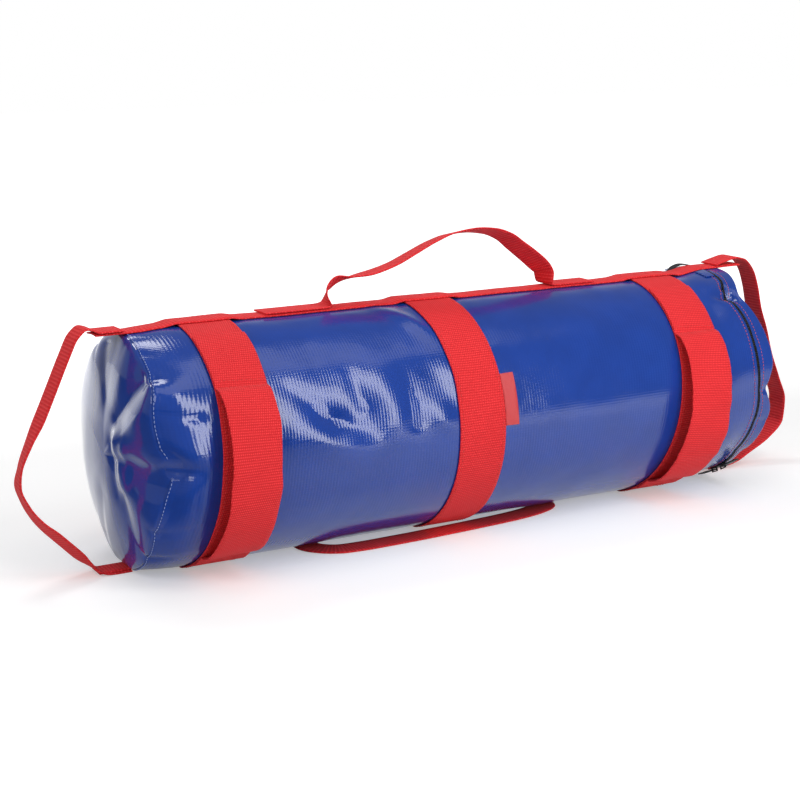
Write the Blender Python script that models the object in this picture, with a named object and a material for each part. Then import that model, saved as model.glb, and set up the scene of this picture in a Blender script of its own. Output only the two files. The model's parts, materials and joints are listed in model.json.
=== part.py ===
"""A weighted training bag: a coated-fabric tube with sewn webbing, a zipped round lid and sand bags.

The bag lies along X, with its zipped lid at +X and its sewn end at -X, and rests on z = 0.
The origin is on the floor under the middle band. Lengths are in metres and angles in degrees.
Angles round the bag are measured from the top, through the front (-Y), to the bottom.

Every piece that lies on the bag is first modelled on a plain round tube about the X axis.
settle() then gives it the shape of the filled bag: a narrower sewn end, an underside flattened
by the load, a slightly raised lid, and bands that lean a little at the top.
"""

import bmesh
import bpy
from math import cos, degrees, hypot, pi, radians, sin, sqrt
from mathutils import Matrix, Vector

# The shell
SHELL_RADIUS = 0.1085
SHELL_THICKNESS = 0.0009
SEAM_X = -0.3050
ZIP_X = 0.3330
LAYER_GAP = 0.0003
ROUND_SEGMENTS = 48

# How the filled bag settles
SAG = 0.0040
SAG_RADIUS = 0.100
LEFT_DRAW_LENGTH = 0.040
LEFT_DRAW_SHARE = 0.020
LEFT_PINCH_SHARE = 0.130
RIGHT_DRAW_LENGTH = 0.045
RIGHT_DRAW_SHARE = 0.015
RIGHT_LIFT = 0.0060
LEFT_LEAN = 0.0060
RIGHT_LEAN = 0.0110
LEAN_START = 0.050
LEAN_LENGTH = 0.150

# Sewn end panel
END_BULGE = 0.020
END_HEM = 0.014

# Webbing
WIDE_WEBBING = 0.050
NARROW_WEBBING = 0.025
WEBBING_THICKNESS = 0.0016
LEFT_BAND_X = -0.2375
MIDDLE_BAND_X = 0.0
RIGHT_BAND_X = 0.2565
LAP_RAMP = 0.005

# Band handles: a second wide strap, sewn to its band except where the hand goes
GRIP_TOP_ANGLE = 22.0
GRIP_OPEN_ANGLE = 54.0
GRIP_CLOSE_ANGLE = 139.0
GRIP_BOTTOM_ANGLE = 150.0
GRIP_STANDOFF = 0.016

# Label tab on the middle band
LABEL_LENGTH = 0.048
LABEL_REACH = 0.014
LABEL_THICKNESS = 0.0008
LABEL_ANGLE = 75.0

# Zip
ZIP_GAP = 0.0010
COIL_WIDTH = 0.0014
COIL_RISE = 0.0008
ZIP_TAPE_WIDTH = 0.012
ZIP_TAPE_THICKNESS = 0.0008
ZIP_EDGE = 0.0022
ZIP_END_ANGLE = 9.0
ZIP_TAB_START_ANGLE = 8.0
ZIP_TAB_LENGTH = 0.018
ZIP_TAB_WIDTH = 0.014
ZIP_TAB_THICKNESS = 0.0010

# Slider and pull
SLIDER_WIDTH = 0.0082
SLIDER_LENGTH = 0.0120
SLIDER_PLATE = 0.0012
SLIDER_CLEARANCE = 0.0005
SLIDER_WEB = 0.0005
BAIL_LENGTH = 0.0084
BAIL_HEIGHT = 0.0036
BAIL_WIDTH = 0.0020
BAIL_WALL = 0.0010
FRONT_SLIDER_ANGLE = 149.0
BACK_SLIDER_ANGLE = 156.5
PULL_LENGTH = 0.024
PULL_WIDTH = 0.0085
PULL_THICKNESS = 0.0012
PULL_ARM = 0.0016
PULL_WINDOW_LENGTH = 0.0070
PULL_CLEARANCE = 0.0005

# Lid
LID_DEPTH = 0.011
RIM_HEIGHT = 0.008

# Loops and handles
LOOP_STUB = 0.028
LOOP_PIVOT_INSET = 0.014
LEFT_LOOP_REACH = 0.0830
RIGHT_LOOP_REACH = 0.0940
HANDLE_HINGE_HEIGHT = 0.0135
HANDLE_STUB_HEIGHT = 0.016
HANDLE_LEFT_X = -0.1010
HANDLE_RIGHT_X = 0.1420
HANDLE_LEFT_FOOT = 0.070
HANDLE_RIGHT_FOOT = 0.053
UNDER_LEFT_X = -0.1390
UNDER_RIGHT_X = 0.1310
UNDER_REACH = 0.0530
UNDER_END_CLEARANCE = 0.0005

# Sand bags inside
SAND_BAG_COUNT = 4
SAND_BAG_SEGMENTS = 24
SAND_BAG_CLEARANCE = 0.0008
SAND_BAG_WALL = 0.0008
SAND_CLEARANCE = 0.0006
SAND_BAG_NECK_RADIUS = 0.018
SAND_BAG_NECK_LENGTH = 0.010
SAND_BAG_MOUTH_RADIUS = 0.026
SAND_BAG_MOUTH_LENGTH = 0.010
SAND_BAG_SHOULDER = 0.016
SAND_BAG_CORNER = 0.012
SAND_BAG_TIE_WIDTH = 0.005
SAND_BAG_TIE_THICKNESS = 0.0024
SAND_BAG_SPACING = 0.003
SAND_BAG_END_ROOM = 0.010

# Shares along and above a free strap's route, each row ending in its roll in degrees
TOP_HANDLE_SHARES = (
    (0.000, 0.000, 0.0), (0.000, 0.018, 0.0), (0.028, 0.040, 0.0), (0.090, 0.044, -2.0),
    (0.180, 0.058, -4.0), (0.280, 0.083, -6.0), (0.370, 0.120, -8.0), (0.460, 0.158, -10.0),
    (0.550, 0.184, -13.0), (0.645, 0.192, -15.0), (0.730, 0.183, -15.0), (0.800, 0.158, -15.0),
    (0.870, 0.117, -13.0), (0.935, 0.078, -9.0), (0.988, 0.042, -3.0), (1.000, 0.018, 0.0),
    (1.000, 0.000, 0.0))
LEFT_LOOP_SHARES = (
    (0.00, 1.000, 0.0), (0.18, 1.000, 0.0), (0.26, 1.000, 0.0), (0.39, 0.960, 0.0), (0.52, 0.890, 0.0),
    (0.67, 0.770, 0.0), (0.80, 0.670, 0.0), (0.91, 0.570, 8.0), (0.985, 0.480, 12.0),
    (1.00, 0.410, 6.0), (0.92, 0.330, 0.0), (0.80, 0.255, -8.0), (0.63, 0.185, -16.0),
    (0.42, 0.105, -16.0), (0.32, 0.048, -9.0), (0.235, 0.000, 0.0), (0.00, 0.000, 0.0))
RIGHT_LOOP_SHARES = (
    (0.00, 1.000, 0.0), (0.16, 1.000, 0.0), (0.28, 1.004, 0.0), (0.42, 0.955, 0.0),
    (0.50, 0.870, 0.0), (0.56, 0.770, 0.0), (0.66, 0.660, 0.0), (0.75, 0.540, 0.0),
    (0.88, 0.410, 0.0), (0.99, 0.290, 0.0), (0.97, 0.190, 0.0), (0.78, 0.110, 0.0),
    (0.50, 0.050, 0.0), (0.29, 0.010, 0.0), (0.16, 0.000, 0.0), (0.00, 0.000, 0.0))
# The bottom handle lies on the floor: share of its length, share of its reach, share of its turn
UNDER_HANDLE_SHARES = (
    (0.000, 0.000, 0.0), (0.000, 0.360, 0.0), (0.030, 0.720, 0.33), (0.100, 0.960, 0.75),
    (0.200, 1.000, 1.0), (0.350, 0.980, 1.0), (0.500, 0.930, 1.0), (0.650, 0.860, 1.0),
    (0.800, 0.770, 1.0), (0.910, 0.620, 1.27), (0.985, 0.360, 1.75), (1.000, 0.000, 2.0))
ROUND_TIP_SHARES = ((0.96, 0.28), (0.80, 0.60), (0.50, 0.866), (0.20, 0.98))
END_BULGE_SHARES = ((0.98, 0.18), (0.90, 0.42), (0.72, 0.72), (0.46, 0.92), (0.20, 0.99))
ROUND_CORNER_SHARES = ((1.0, 0.0), (0.293, 0.293), (0.0, 1.0))

# Worked out from the sizes above
INNER_RADIUS = SHELL_RADIUS - SHELL_THICKNESS
WEBBING_STEP = LAYER_GAP + WEBBING_THICKNESS
STACK_RADIUS = SHELL_RADIUS + WEBBING_STEP + WEBBING_STEP
TAPE_RADIUS = INNER_RADIUS - LAYER_GAP - ZIP_TAPE_THICKNESS
COIL_RADIUS = SHELL_RADIUS + COIL_RISE
LID_PANEL_X = ZIP_X + LID_DEPTH
RIM_X = LID_PANEL_X + RIM_HEIGHT
LEFT_PIVOT_X = SEAM_X - LOOP_PIVOT_INSET
RIGHT_PIVOT_X = RIM_X + LOOP_PIVOT_INSET


def smooth_step(share):
    """0 below 0, 1 above 1, and an even S between."""
    share = min(max(share, 0.0), 1.0)
    return share * share * (3.0 - 2.0 * share)


def sagged(radius):
    """How far under the axis the flattened underside of a layer lies; the outer layers sag alike."""
    return radius - SAG * smooth_step(radius / SAG_RADIUS)


AXIS_HEIGHT = sagged(STACK_RADIUS)


def left_share(x):
    """0 on the bag's length, rising to 1 at the sewn end."""
    return smooth_step((SEAM_X + LEFT_DRAW_LENGTH - x) / LEFT_DRAW_LENGTH)


def right_share(x):
    """0 on the bag's length, rising to 1 at the zip."""
    return smooth_step((x - ZIP_X + RIGHT_DRAW_LENGTH) / RIGHT_DRAW_LENGTH)


def draw_in(x):
    """Share of the full radius that the filled bag keeps at x."""
    return 1.0 - LEFT_DRAW_SHARE * left_share(x) - RIGHT_DRAW_SHARE * right_share(x)


def lean(x):
    """How far the bag's top is pulled towards the lid at x."""
    most = RIGHT_LEAN if x > 0 else LEFT_LEAN
    share = smooth_step((abs(x) - LEAN_START) / LEAN_LENGTH)
    return most * share * (1.0 - right_share(x)) * (1.0 - left_share(x))


def settled(point):
    """The place on the filled, resting bag of a point of the plain round tube."""
    radius = hypot(point.y, point.z)
    if radius == 0:
        return Vector((point.x, 0, AXIS_HEIGHT + RIGHT_LIFT * right_share(point.x)))
    share = draw_in(point.x)
    floor = -sagged(radius) - (radius - sagged(radius)) * right_share(point.x)
    y = point.y * share * (1.0 - LEFT_PINCH_SHARE * left_share(point.x))
    z = max(point.z * share, floor) + AXIS_HEIGHT + RIGHT_LIFT * right_share(point.x)
    return Vector((point.x + lean(point.x) * point.z / SHELL_RADIUS, y, z))


def settle(bm):
    """Moves every vertex from the plain round tube to the filled bag."""
    for vertex in bm.verts:
        vertex.co = settled(vertex.co)


def round_point(x, radius, angle):
    """A point of the plain round tube, with the angle measured from the top through the front."""
    turn = radians(angle)
    return Vector((x, -radius * sin(turn), radius * cos(turn)))


def plain_material(name, color, roughness, metallic=0.0):
    """A Principled BSDF material of one colour."""
    made = bpy.data.materials.new(name)
    made.use_nodes = True
    shader = made.node_tree.nodes["Principled BSDF"]
    shader.inputs["Base Color"].default_value = (*color, 1.0)
    shader.inputs["Roughness"].default_value = roughness
    shader.inputs["Metallic"].default_value = metallic
    made.diffuse_color = (*color, 1.0)
    return made


def finish(bm, name, material, sharp_angle=35.0):
    """Makes one closed object of a bmesh."""
    bmesh.ops.recalc_face_normals(bm, faces=bm.faces)
    if bm.calc_volume(signed=True) < 0:
        bmesh.ops.reverse_faces(bm, faces=bm.faces)
    mesh = bpy.data.meshes.new(name)
    bm.to_mesh(mesh)
    bm.free()
    mesh.materials.append(material)
    mesh.shade_smooth()
    mesh.set_sharp_from_angle(angle=radians(sharp_angle))
    made = bpy.data.objects.new(name, mesh)
    bpy.context.scene.collection.objects.link(made)
    return made


def hinged(name, place, pieces):
    """An empty on a joint's axis, which carries the pieces that move about it."""
    hinge = bpy.data.objects.new(name, None)
    hinge.location = place
    bpy.context.scene.collection.objects.link(hinge)
    for piece in pieces:
        piece.parent = hinge
        piece.matrix_parent_inverse = Matrix.Translation(-place)


def outline_edges(bm, outline, angle):
    """The edges of a closed outline of (x, radius) points at one angle."""
    verts = [bm.verts.new(round_point(x, radius, angle)) for x, radius in outline]
    return [bm.edges.new(pair) for pair in zip(verts, verts[1:] + verts[:1])]


def turned_ring(name, outline, material, segments=ROUND_SEGMENTS):
    """A full ring with the given (x, radius) outline, settled with the bag."""
    bm = bmesh.new()
    edges = outline_edges(bm, outline, 0.0)
    bmesh.ops.spin(bm, geom=list(bm.verts) + edges, cent=(0, 0, 0), axis=(1, 0, 0), angle=2 * pi,
                   steps=segments, use_merge=True)
    settle(bm)
    return finish(bm, name, material)


def turned_arc(outline, start, end, steps):
    """A bmesh of the (x, radius) outline turned from one angle to another, with closed ends."""
    bm = bmesh.new()
    outline_edges(bm, outline, start)
    bm.faces.new(list(bm.verts))
    geometry = list(bm.verts) + list(bm.edges) + list(bm.faces)
    bmesh.ops.spin(bm, geom=geometry, cent=(0, 0, 0), axis=(1, 0, 0), angle=radians(end - start), steps=steps)
    return bm


def turned_solid(name, outline, material, segments=ROUND_SEGMENTS):
    """A turned shape whose (x, radius) outline starts and ends on the axis."""
    bm = bmesh.new()
    verts = [bm.verts.new(round_point(x, radius, 0.0)) for x, radius in outline]
    edges = [bm.edges.new(pair) for pair in zip(verts, verts[1:])]
    bmesh.ops.spin(bm, geom=verts + edges, cent=(0, 0, 0), axis=(1, 0, 0), angle=2 * pi,
                   steps=segments, use_merge=True)
    bmesh.ops.remove_doubles(bm, verts=bm.verts, dist=LAYER_GAP / 10)
    settle(bm)
    return finish(bm, name, material)


def swept(sections):
    """A bmesh that runs through four-cornered sections, one extrusion for each, with closed ends."""
    bm = bmesh.new()
    first = bm.faces.new([bm.verts.new(corner) for corner in sections[0]])
    face = first
    for section in sections[1:]:
        made = bmesh.ops.extrude_face_region(bm, geom=[face])
        if face is not first:
            bmesh.ops.delete(bm, geom=[face], context="FACES_ONLY")
        face = next(item for item in made["geom"] if isinstance(item, bmesh.types.BMFace))
        for loop, corner in zip(face.loops, section):
            loop.vert.co = corner
    return bm


def boxed(low, high):
    """The two four-cornered sections of a box between two corners, along Z."""
    return [[Vector((x, y, z)) for x, y in ((low[0], low[1]), (high[0], low[1]), (high[0], high[1]),
                                            (low[0], high[1]))] for z in (low[2], high[2])]


def lapped_radius(x, laps):
    """Inner radius of a strap that climbs over others; a lap is (first x, last x, rise)."""
    radius = SHELL_RADIUS + LAYER_GAP
    for first, last, rise in laps:
        up = smooth_step((x - first + LAP_RAMP) / LAP_RAMP)
        down = smooth_step((last + LAP_RAMP - x) / LAP_RAMP)
        radius += rise * min(up, down)
    return radius


def long_strap(name, stations, laps, angle, material, columns=4):
    """A narrow strap that runs along the bag at one angle, through the x stations."""
    bm = bmesh.new()
    bmesh.ops.create_grid(bm, x_segments=len(stations) - 1, y_segments=columns, size=1.0)
    for vertex in bm.verts:
        x = stations[round((vertex.co.x + 1.0) / 2.0 * (len(stations) - 1))]
        vertex.co = Vector((x, vertex.co.y * NARROW_WEBBING / 2, lapped_radius(x, laps)))
    made = bmesh.ops.extrude_face_region(bm, geom=list(bm.faces), use_keep_orig=True)
    raised = [item for item in made["geom"] if isinstance(item, bmesh.types.BMVert)]
    bmesh.ops.translate(bm, verts=raised, vec=(0, 0, WEBBING_THICKNESS))
    for vertex in bm.verts:
        turn = degrees(vertex.co.y / vertex.co.z)
        vertex.co = round_point(vertex.co.x, vertex.co.z, angle + turn)
    settle(bm)
    return finish(bm, name, material)


def even_slope(before, here, after):
    """The slope at a point of a curve that never runs past its points."""
    slope = []
    for near, far in zip(here - before, after - here):
        slope.append(2.0 * near * far / (near + far) if near * far > 0 else 0.0)
    return Vector(slope)


def smooth_path(points, steps):
    """Points on a smooth curve through the given ones, with even steps between each pair."""
    ends = [points[0] * 2 - points[1]] + points + [points[-1] * 2 - points[-2]]
    path = []
    for before, start, end, after in zip(ends, ends[1:], ends[2:], ends[3:]):
        leaving = even_slope(before, start, end)
        arriving = even_slope(start, end, after)
        for step in range(steps):
            t = step / steps
            path.append(start * (2 * t ** 3 - 3 * t ** 2 + 1) + leaving * (t ** 3 - 2 * t ** 2 + t)
                        + end * (3 * t ** 2 - 2 * t ** 3) + arriving * (t ** 3 - t ** 2))
    path.append(points[-1].copy())
    return path


def ribbon(name, centres, acrosses, material):
    """A free webbing strap along centres, with its width along acrosses and rounded ends."""
    half = NARROW_WEBBING / 2
    rows = []
    for index, (centre, across) in enumerate(zip(centres, acrosses)):
        ahead = centres[min(index + 1, len(centres) - 1)]
        behind = centres[max(index - 1, 0)]
        tangent = (ahead - behind).normalized()
        across = (across - tangent * tangent.dot(across)).normalized()
        away = tangent.cross(across) * (WEBBING_THICKNESS / 2)
        rows.append((centre, tangent, across * half, away))
    first, last = rows[0], rows[-1]
    start_tip = [(first[0] - first[1] * (half * out), first[1], first[2] * wide, first[3])
                 for out, wide in ROUND_TIP_SHARES]
    end_tip = [(last[0] + last[1] * (half * out), last[1], last[2] * wide, last[3])
               for out, wide in reversed(ROUND_TIP_SHARES)]
    sections = []
    for centre, tangent, across, away in start_tip + rows + end_tip:
        sections.append((centre - across - away, centre + across - away,
                         centre + across + away, centre - across + away))
    return finish(swept(sections), name, material)


def rolled_ribbon(name, stations, steps, material):
    """A ribbon through (centre, roll) stations in a plane of constant Y, with its width along Y."""
    centres = smooth_path([centre for centre, roll in stations], steps)
    rolls = smooth_path([Vector((roll, 0, 0)) for centre, roll in stations], steps)
    acrosses = []
    for index, roll in enumerate(rolls):
        ahead = centres[min(index + 1, len(centres) - 1)]
        behind = centres[max(index - 1, 0)]
        turn = Matrix.Rotation(radians(roll.x), 3, (ahead - behind).normalized())
        acrosses.append(turn @ Vector((0, 1, 0)))
    return ribbon(name, centres, acrosses, material)


def shell_stations():
    """The x stations of the shell, close together where the ends draw in."""
    count = 3
    left = [SEAM_X + LEFT_DRAW_LENGTH * step / count for step in range(count + 1)]
    right = [ZIP_X - RIGHT_DRAW_LENGTH * step / count for step in range(count, 0, -1)]
    return left + right


def lean_stations():
    """The x stations where the lean of the bag changes."""
    count = 2
    steps = [LEAN_START + LEAN_LENGTH * step / count for step in range(count + 1)]
    return [-x for x in reversed(steps)] + steps


def build_shell(vinyl):
    """The fabric tube, open at the zip, and the sewn end panel, whose hem stands inside it."""
    xs = sorted(shell_stations() + lean_stations() + [ZIP_X - ZIP_EDGE])
    outline = [(x, SHELL_RADIUS) for x in xs] + [(x, INNER_RADIUS) for x in reversed(xs)]
    turned_ring("body_tube", outline, vinyl)

    hem_radius = INNER_RADIUS - LAYER_GAP
    inner_hem = hem_radius - SHELL_THICKNESS
    start = SEAM_X - LAYER_GAP
    hem_xs = [x for x in xs if SEAM_X <= x < SEAM_X + END_HEM] + [SEAM_X + END_HEM]
    outer = [(x, hem_radius) for x in reversed(hem_xs)]
    outer += [(start - END_BULGE * rise, hem_radius * share) for share, rise in END_BULGE_SHARES]
    outer.append((start - END_BULGE, 0.0))
    inner = [(x, inner_hem) for x in reversed(hem_xs)]
    inner += [(start + SHELL_THICKNESS - END_BULGE * rise, inner_hem * share)
              for share, rise in END_BULGE_SHARES]
    inner.append((start + SHELL_THICKNESS - END_BULGE, 0.0))
    turned_solid("end_panel", list(reversed(outer)) + inner, vinyl)


def build_bands(webbing, satin):
    """The three bands round the bag, and the label tab sewn at the edge of the middle one."""
    low = SHELL_RADIUS + LAYER_GAP
    high = low + WEBBING_THICKNESS
    half = WIDE_WEBBING / 2
    for name, middle in (("left_band", LEFT_BAND_X), ("middle_band", MIDDLE_BAND_X),
                         ("right_band", RIGHT_BAND_X)):
        turned_ring(name, [(middle - half, low), (middle + half, low), (middle + half, high),
                           (middle - half, high)], webbing)

    edge = MIDDLE_BAND_X + half + LAYER_GAP
    top = low + LABEL_THICKNESS
    reach = edge + LABEL_REACH
    half_angle = degrees(LABEL_LENGTH / 2 / SHELL_RADIUS)
    bm = turned_arc([(edge, low), (reach, low), (reach, top), (edge, top)],
                    LABEL_ANGLE - half_angle, LABEL_ANGLE + half_angle, 6)
    settle(bm)
    finish(bm, "label_tag", satin)


def grip_radius(angle):
    """Inner radius of a band handle: flush on its band, and standing off between its seams."""
    flush = SHELL_RADIUS + WEBBING_STEP + LAYER_GAP
    share = (angle - GRIP_OPEN_ANGLE) / (GRIP_CLOSE_ANGLE - GRIP_OPEN_ANGLE)
    if not 0.0 < share < 1.0:
        return flush
    return flush + GRIP_STANDOFF * sqrt(sin(pi * share))


def build_band_handles(webbing):
    """The wide hand loops on the front of the outer bands."""
    steps = 18
    span = GRIP_CLOSE_ANGLE - GRIP_OPEN_ANGLE
    angles = [GRIP_TOP_ANGLE + (GRIP_OPEN_ANGLE - GRIP_TOP_ANGLE) * step / 4 for step in range(4)]
    angles += [GRIP_OPEN_ANGLE + span * (1 - cos(pi * step / steps)) / 2 for step in range(steps + 1)]
    angles += [(GRIP_CLOSE_ANGLE + GRIP_BOTTOM_ANGLE) / 2, GRIP_BOTTOM_ANGLE]
    for name, middle in (("left_band_handle", LEFT_BAND_X), ("right_band_handle", RIGHT_BAND_X)):
        near = middle - WIDE_WEBBING / 2
        far = middle + WIDE_WEBBING / 2
        sections = []
        for angle in angles:
            low = grip_radius(angle)
            high = low + WEBBING_THICKNESS
            sections.append([round_point(x, radius, angle)
                             for x, radius in ((near, low), (far, low), (far, high), (near, high))])
        bm = swept(sections)
        settle(bm)
        finish(bm, name, webbing)


def build_long_webbing(webbing):
    """The long straps on top and underneath, whose left ends stand out as stubs for the end loop."""
    half = WIDE_WEBBING / 2
    laps = [(middle - half, middle + half, WEBBING_STEP)
            for middle in (LEFT_BAND_X, MIDDLE_BAND_X, RIGHT_BAND_X)]
    start = SEAM_X - LOOP_STUB
    for name, angle, end in (("top_webbing", 0.0, ZIP_X - ZIP_GAP),
                             ("bottom_webbing", 180.0, ZIP_X - SLIDER_WIDTH)):
        stations = {start, end}
        for first, last, rise in laps:
            stations.update((first - LAP_RAMP, first, last, last + LAP_RAMP))
        stations.update(shell_stations() + lean_stations())
        kept = sorted(x for x in stations if start <= x <= end)
        long_strap(name, kept, laps, angle, webbing)


def build_top_handle(webbing):
    """The top handle's two sewn feet, with upright tabs, and the arched strap that swings on them."""
    half = NARROW_WEBBING / 2
    base = AXIS_HEIGHT + SHELL_RADIUS + WEBBING_STEP + LAYER_GAP
    top = base + WEBBING_THICKNESS
    peak = base + HANDLE_STUB_HEIGHT
    for name, x, length, way in (("top_handle_foot_left", HANDLE_LEFT_X, HANDLE_LEFT_FOOT, 1),
                                 ("top_handle_foot_right", HANDLE_RIGHT_X, HANDLE_RIGHT_FOOT, -1)):
        far = x - way * length
        inner = x - way * WEBBING_THICKNESS
        outline = (((far, base), (far, top)), ((x, base), (inner, top)), ((x, peak), (inner, peak)))
        bm = swept([[Vector((low[0], -half, low[1])), Vector((low[0], half, low[1])),
                     Vector((high[0], half, high[1])), Vector((high[0], -half, high[1]))]
                    for low, high in outline])
        finish(bm, name, webbing)

    inset = LAYER_GAP + WEBBING_THICKNESS / 2
    left = HANDLE_LEFT_X + inset
    span = HANDLE_RIGHT_X - inset - left
    hinge = AXIS_HEIGHT + SHELL_RADIUS + WEBBING_STEP + HANDLE_HINGE_HEIGHT
    stations = [(Vector((left + span * along, 0, hinge + span * up)), roll)
                for along, up, roll in TOP_HANDLE_SHARES]
    strap = rolled_ribbon("top_handle_strap", stations, 3, webbing)
    hinged("top_handle_hinge", Vector((0, 0, hinge)), [strap])


def build_bottom_handle(webbing):
    """The bottom handle's sewn feet, and its strap, which lies on the floor in front of the bag."""
    half = NARROW_WEBBING / 2
    for name, x, length, way in (("bottom_handle_foot_left", UNDER_LEFT_X + half, HANDLE_RIGHT_FOOT, -1),
                                 ("bottom_handle_foot_right", UNDER_RIGHT_X - half, HANDLE_LEFT_FOOT, 1)):
        ends = sorted((x, x + way * length))
        finish(swept(boxed((ends[0], -half, 0), (ends[1], half, WEBBING_THICKNESS))), name, webbing)

    span = UNDER_RIGHT_X - UNDER_LEFT_X
    root = half + UNDER_END_CLEARANCE
    height = LAYER_GAP + WEBBING_THICKNESS / 2
    stations = [Vector((UNDER_LEFT_X + span * along, -root - (UNDER_REACH - root) * out, height))
                for along, out, turn in UNDER_HANDLE_SHARES]
    turns = [Vector((turn, 0, 0)) for along, out, turn in UNDER_HANDLE_SHARES]
    centres = smooth_path(stations, 3)
    acrosses = []
    for turn in smooth_path(turns, 3):
        angle = radians(90.0 * turn.x)
        acrosses.append(Vector((cos(angle), sin(angle), 0)))
    rows = []
    for centre, across in zip(centres, acrosses):
        up = Vector((0, 0, WEBBING_THICKNESS / 2))
        rows.append((centre - across * half - up, centre + across * half - up,
                     centre + across * half + up, centre - across * half + up))
    strap = finish(swept(rows), "bottom_handle_strap", webbing)
    hinged("bottom_handle_hinge", Vector((0, 0, height)), [strap])


def strap_height(x, side):
    """Height of the middle of a strap over (side 1) or under (side -1) the long webbing's stubs."""
    radius = SHELL_RADIUS + WEBBING_STEP + LAYER_GAP + WEBBING_THICKNESS / 2
    return settled(Vector((x, 0, side * radius))).z


def build_end_loops(webbing):
    """The carrying loops beyond both ends, each swinging on its two stubs, and their pivots."""
    loops = []
    for name, pivot, way, reach, shares in (
            ("left_loop_strap", LEFT_PIVOT_X, -1, LEFT_LOOP_REACH, LEFT_LOOP_SHARES),
            ("right_loop_strap", RIGHT_PIVOT_X, 1, RIGHT_LOOP_REACH, RIGHT_LOOP_SHARES)):
        top = strap_height(pivot, 1)
        bottom = strap_height(pivot, -1)
        stations = [(Vector((pivot + way * reach * out, 0, bottom + (top - bottom) * up)), roll)
                    for out, up, roll in shares]
        strap = rolled_ribbon(name, stations, 3, webbing)
        loops.append((strap, Vector((pivot, 0, bottom))))
    return loops


def build_zip(black, vinyl):
    """Both halves of the zip, each a tape with its coil, and the tabs that cover the zip's ends."""
    tapes = []
    tape_top = TAPE_RADIUS + ZIP_TAPE_THICKNESS
    for name, way in (("zip_tape_body", -1), ("zip_tape_lid", 1)):
        near = ZIP_X + way * ZIP_GAP / 2
        coil = near + way * COIL_WIDTH
        far = ZIP_X + way * ZIP_TAPE_WIDTH
        if way > 0:
            far = LID_PANEL_X - LAYER_GAP
        outline = [(near, TAPE_RADIUS), (near, COIL_RADIUS), (coil, COIL_RADIUS), (coil, tape_top),
                   (far, tape_top), (far, TAPE_RADIUS)]
        bm = turned_arc(outline, ZIP_END_ANGLE, 360.0 - ZIP_END_ANGLE, ROUND_SEGMENTS - 3)
        settle(bm)
        tapes.append(finish(bm, name, black))

    low = SHELL_RADIUS + LAYER_GAP
    high = low + ZIP_TAB_THICKNESS
    end = ZIP_X - ZIP_EDGE
    start = end - ZIP_TAB_WIDTH
    arc = degrees(ZIP_TAB_LENGTH / SHELL_RADIUS)
    for name, way in (("zip_end_tab_front", 1), ("zip_end_tab_back", -1)):
        bm = turned_arc([(start, low), (end, low), (end, high), (start, high)],
                        way * ZIP_TAB_START_ANGLE, way * (ZIP_TAB_START_ANGLE + arc), 4)
        settle(bm)
        finish(bm, name, vinyl)
    return tapes


def build_slider(name, angle, metal):
    """A slider: plates over and under the coil, the web between them, and the bail for its pull."""
    half = SLIDER_WIDTH / 2
    web = SLIDER_WEB / 2
    under = TAPE_RADIUS * draw_in(ZIP_X) - SLIDER_CLEARANCE
    over = COIL_RADIUS * draw_in(ZIP_X) + SLIDER_CLEARANCE
    crown = over + SLIDER_PLATE
    base = under - SLIDER_PLATE
    outline = [(-half, base), (half, base), (half, under), (web, under), (web, over), (half, over),
               (half, crown), (-half, crown), (-half, over), (-web, over), (-web, under), (-half, under)]
    arc = degrees(SLIDER_LENGTH / 2 / COIL_RADIUS)
    bm = turned_arc(outline, -arc, arc, 4)
    body = finish(bm, name, metal)
    low = crown - SLIDER_PLATE / 2
    peak = crown + BAIL_HEIGHT
    inner_peak = peak - BAIL_WALL
    foot = BAIL_LENGTH / 2
    inner_foot = foot - BAIL_WALL
    side = BAIL_WIDTH / 2
    bail = finish(swept([[Vector((-side, near, height)), Vector((side, near, height)),
                          Vector((side, far, top)), Vector((-side, far, top))]
                         for near, height, far, top in (
                             (-inner_foot, low, -foot, low), (-inner_foot, inner_peak, -foot, peak),
                             (inner_foot, inner_peak, foot, peak), (inner_foot, low, foot, low))]),
                  name + "_bail", metal)
    bail.hide_render = True
    bail.display_type = "WIRE"
    joined = body.modifiers.new("bail", "BOOLEAN")
    joined.operation = "UNION"
    joined.object = bail
    joined.solver = "EXACT"
    for piece in (body, bail):
        piece.matrix_world = zip_place(angle)
    return crown


def zip_place(angle):
    """The frame at the zip's centre, turned so that its Z points at the given angle round the zip."""
    return Matrix.Translation(settled(Vector((ZIP_X, 0, 0)))) @ Matrix.Rotation(radians(angle), 4, "X")


def build_pull(name, angle, crown, way, metal):
    """A pull: a frame whose crossbar lies in the bail, and a tab beyond it."""
    half = PULL_WIDTH / 2
    bar = PULL_THICKNESS / 2
    tab = finish(swept(boxed((-half, -bar, -bar), (half, PULL_LENGTH - bar, bar))), name, metal)
    window = finish(swept(boxed((-half + PULL_ARM, bar, -PULL_THICKNESS),
                                (half - PULL_ARM, bar + PULL_WINDOW_LENGTH, PULL_THICKNESS))),
                    name + "_window", metal)
    window.hide_render = True
    window.display_type = "WIRE"
    cut = tab.modifiers.new("window", "BOOLEAN")
    cut.operation = "DIFFERENCE"
    cut.object = window
    cut.solver = "EXACT"
    rise = Matrix.Translation((0, 0, crown + PULL_CLEARANCE + bar))
    facing = Matrix.Rotation(0.0 if way > 0 else pi, 4, "Z")
    for piece in (tab, window):
        piece.matrix_world = zip_place(angle) @ rise @ facing


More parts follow.
